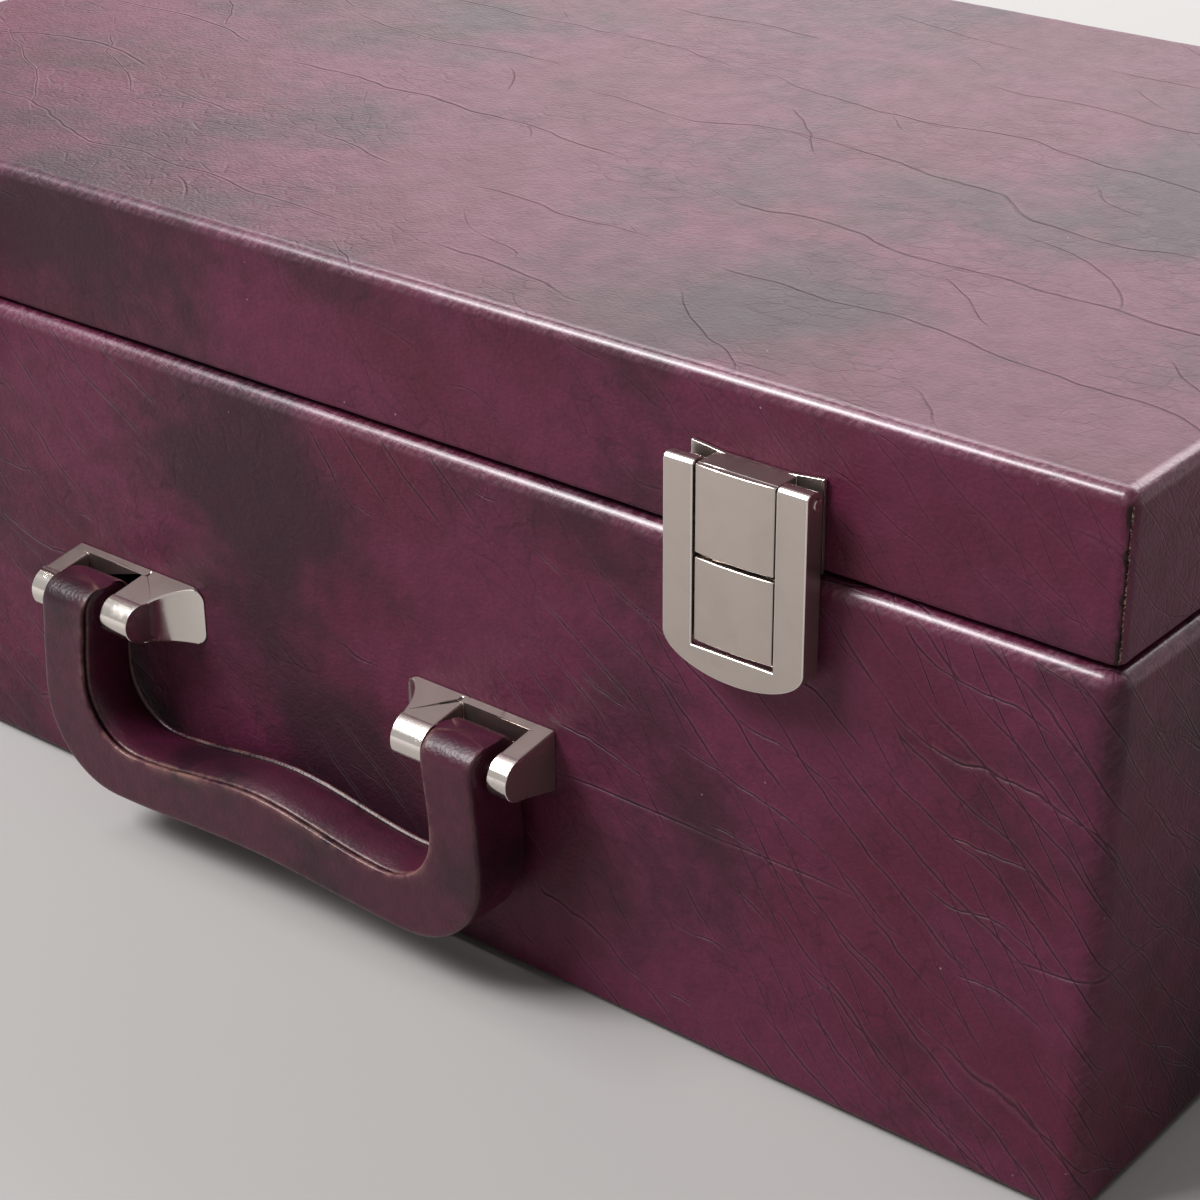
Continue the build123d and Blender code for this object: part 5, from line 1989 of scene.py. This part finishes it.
@dataclass
class Studio:
    """A plain pale floor, soft lights and the camera at the photograph's place.

    Attributes:
        eye: the camera's place.
        focal_pixels: the focal length in pixels of the square image.
        image_side: the side of the image in pixels.
        yaw: how far the camera is turned from the back, in degrees.
        pitch: how far it looks down.
        roll: how far it is tilted.
        sensor: the width of the camera's sensor in millimetres.
        near_clip: how near to the camera things still show.
        aim: the point that the lights are aimed at.
        softboxes: the lights.
        world_strength: how strongly the surroundings light the case.
        seen_strength: how bright they look, also in reflections.
        surroundings: their colour.
        floor_size: the length of the floor's sides.
        floor_pale: the floor's colour.
        floor_dull: the floor's colour in its broad duller patches.
    """

    eye: tuple[float, float, float] = (0.4162, -0.5338, 0.3650)
    focal_pixels: float = 2799.0
    image_side: float = 1200.0
    yaw: float = -39.2
    pitch: float = 26.9
    roll: float = -0.46
    sensor: float = 36.0
    near_clip: float = 0.02
    aim: tuple[float, float, float] = (0.05, -0.03, 0.08)
    softboxes: tuple[Softbox, ...] = (
        Softbox("front_softbox", (-1.2, -1.5, 2.2), (1.2, 0.8), 60.0),
        Softbox("edge_softbox", (-1.17, -0.94, 1.76), (0.45, 2.2), 25.0, turn=48.0),
        Softbox("back_softbox", (-0.8, 2.5, 1.9), (3.6, 2.2), 112.0),
    )
    world_strength: float = 0.14
    seen_strength: float = 0.62
    surroundings: Colour = paint(240, 238, 236)
    floor_size: float = 8.0
    floor_pale: Colour = paint(190, 187, 185)
    floor_dull: Colour = paint(184, 181, 179)

    def build(self) -> None:
        """Makes the floor, the lights, the world and the camera."""
        scene = bpy.context.scene
        scene.view_settings.view_transform = "Standard"
        self.floor()
        for softbox in self.softboxes:
            self.lamp(softbox)
        self.world()
        scene.camera = self.camera()

    def floor(self) -> None:
        """The floor that the case stands on."""
        bpy.ops.object.select_all(action="DESELECT")
        bpy.ops.mesh.primitive_plane_add(size=self.floor_size)
        plane = bpy.context.view_layer.objects.active
        plane.name = "floor"
        material = bpy.data.materials.new("pale_floor")
        material.use_nodes = True
        graph = Graph(material.node_tree)
        soft = graph.noise(graph.place(), size=400, detail=2)
        colour = graph.mix(soft, self.floor_pale, self.floor_dull)
        graph.surface(Base_Color=colour, Roughness=0.8)
        plane.data.materials.append(material)

    def lamp(self, softbox: Softbox) -> None:
        """Sets up one soft light, which the camera doesn't see.

        Args:
            softbox: what it is like.
        """
        bpy.ops.object.light_add(type="AREA", location=softbox.place)
        lamp = bpy.context.view_layer.objects.active
        lamp.name = softbox.name
        ahead = (Vector(self.aim) - Vector(softbox.place)).to_track_quat("-Z", "Y")
        turn = Matrix.Rotation(math.radians(softbox.turn), 3, "Z")
        lamp.rotation_euler = (ahead.to_matrix() @ turn).to_euler()
        lamp.data.shape = "RECTANGLE"
        lamp.data.size, lamp.data.size_y = softbox.size
        lamp.data.energy = softbox.watts
        lamp.visible_camera = False

    def world(self) -> None:
        """A pale surrounding light."""
        world = bpy.data.worlds.new("pale_room")
        bpy.context.scene.world = world
        world.use_nodes = True
        graph = Graph(world.node_tree)
        light, seen = (graph.node("ShaderNodeBackground", None,
                                  {"Color": self.surroundings, "Strength": strength})
                       for strength in (self.world_strength, self.seen_strength))
        rays = graph.node("ShaderNodeLightPath", output="Is Camera Ray")
        rays = rays.most(rays.part("Is Glossy Ray")).most(rays.part("Is Transmission Ray"))
        mixed = graph.node("ShaderNodeMixShader", None, {0: rays, 1: light, 2: seen})
        graph.node("ShaderNodeOutputWorld", None, {"Surface": mixed})

    def camera(self) -> Piece:
        """The camera, as the photograph was taken.

        Returns:
            The camera.
        """
        data = bpy.data.cameras.new("camera")
        data.sensor_width = self.sensor
        data.lens = self.focal_pixels / self.image_side * self.sensor
        data.clip_start = self.near_clip
        camera = bpy.data.objects.new("camera", data)
        bpy.context.scene.collection.objects.link(camera)
        yaw, pitch, roll = (math.radians(angle) for angle in (self.yaw, self.pitch, self.roll))
        ahead = Vector((math.sin(yaw) * math.cos(pitch), math.cos(yaw) * math.cos(pitch),
                        -math.sin(pitch)))
        right = Vector((math.cos(yaw), -math.sin(yaw), 0))
        up = right.cross(ahead)
        tilted_right = math.cos(roll) * right + math.sin(roll) * up
        tilted_up = math.cos(roll) * up - math.sin(roll) * right
        turn = Matrix((tilted_right, tilted_up, -ahead)).transposed()
        camera.matrix_world = Matrix.Translation(Vector(self.eye)) @ turn.to_4x4()
        return camera


def dress_frame() -> None:
    """Gives each CAD node the finish of its slot."""
    for part in frame["record"]["subparts"]:
        node = frame["nodes"][part["node"]]
        material = SLOT_FINISHES[Slot(part["material_slot"])].material()
        if not node.material_slots:
            node.data.materials.append(material)
        for place in node.material_slots:
            place.material = material


def covers(bench: Workbench) -> list[Cover]:
    """The two leather covers.

    Args:
        bench: the modelling operators.

    Returns:
        The covers.
    """
    return [
        Cover(bench, node="body_leather", body=Body.CASE, half_x=210 * MM, half_y=132.5 * MM,
              bottom=1 * MM, top=124 * MM, corner=5 * MM, low_round=2 * MM, high_round=3.4 * MM,
              open_low=(196 * MM, 118.5 * MM), open_high=(199.8 * MM, 122.3 * MM),
              cloud_shift=(-529, 41, 383)),
        Cover(bench, node="lid_leather", body=Body.LID, half_x=208.8 * MM, half_y=131.3 * MM,
              bottom=124.6 * MM, top=160 * MM, corner=3 * MM, low_round=1.6 * MM,
              high_round=2.9 * MM, open_low=(200.6 * MM, 123.1 * MM), butted=True,
              cloud_shift=(-110, -352, 545)),
    ]


def main() -> None:
    """Builds and dresses every sub-assembly in order."""
    logging.basicConfig(level=logging.INFO, format="%(message)s")
    bench = Workbench()
    Studio().build()
    dress_frame()
    for cover in covers(bench):
        cover.build()
    Handle(bench).build()
    for side in Side:
        Bracket(bench, side).build()
        Latch(bench, side).build()
        Hinge(bench, side).build()
        RibbonLoop(bench, side).build()
    VelvetFittings(bench).build()
    LidPad(bench).build()


if __name__ == "__main__":
    main()
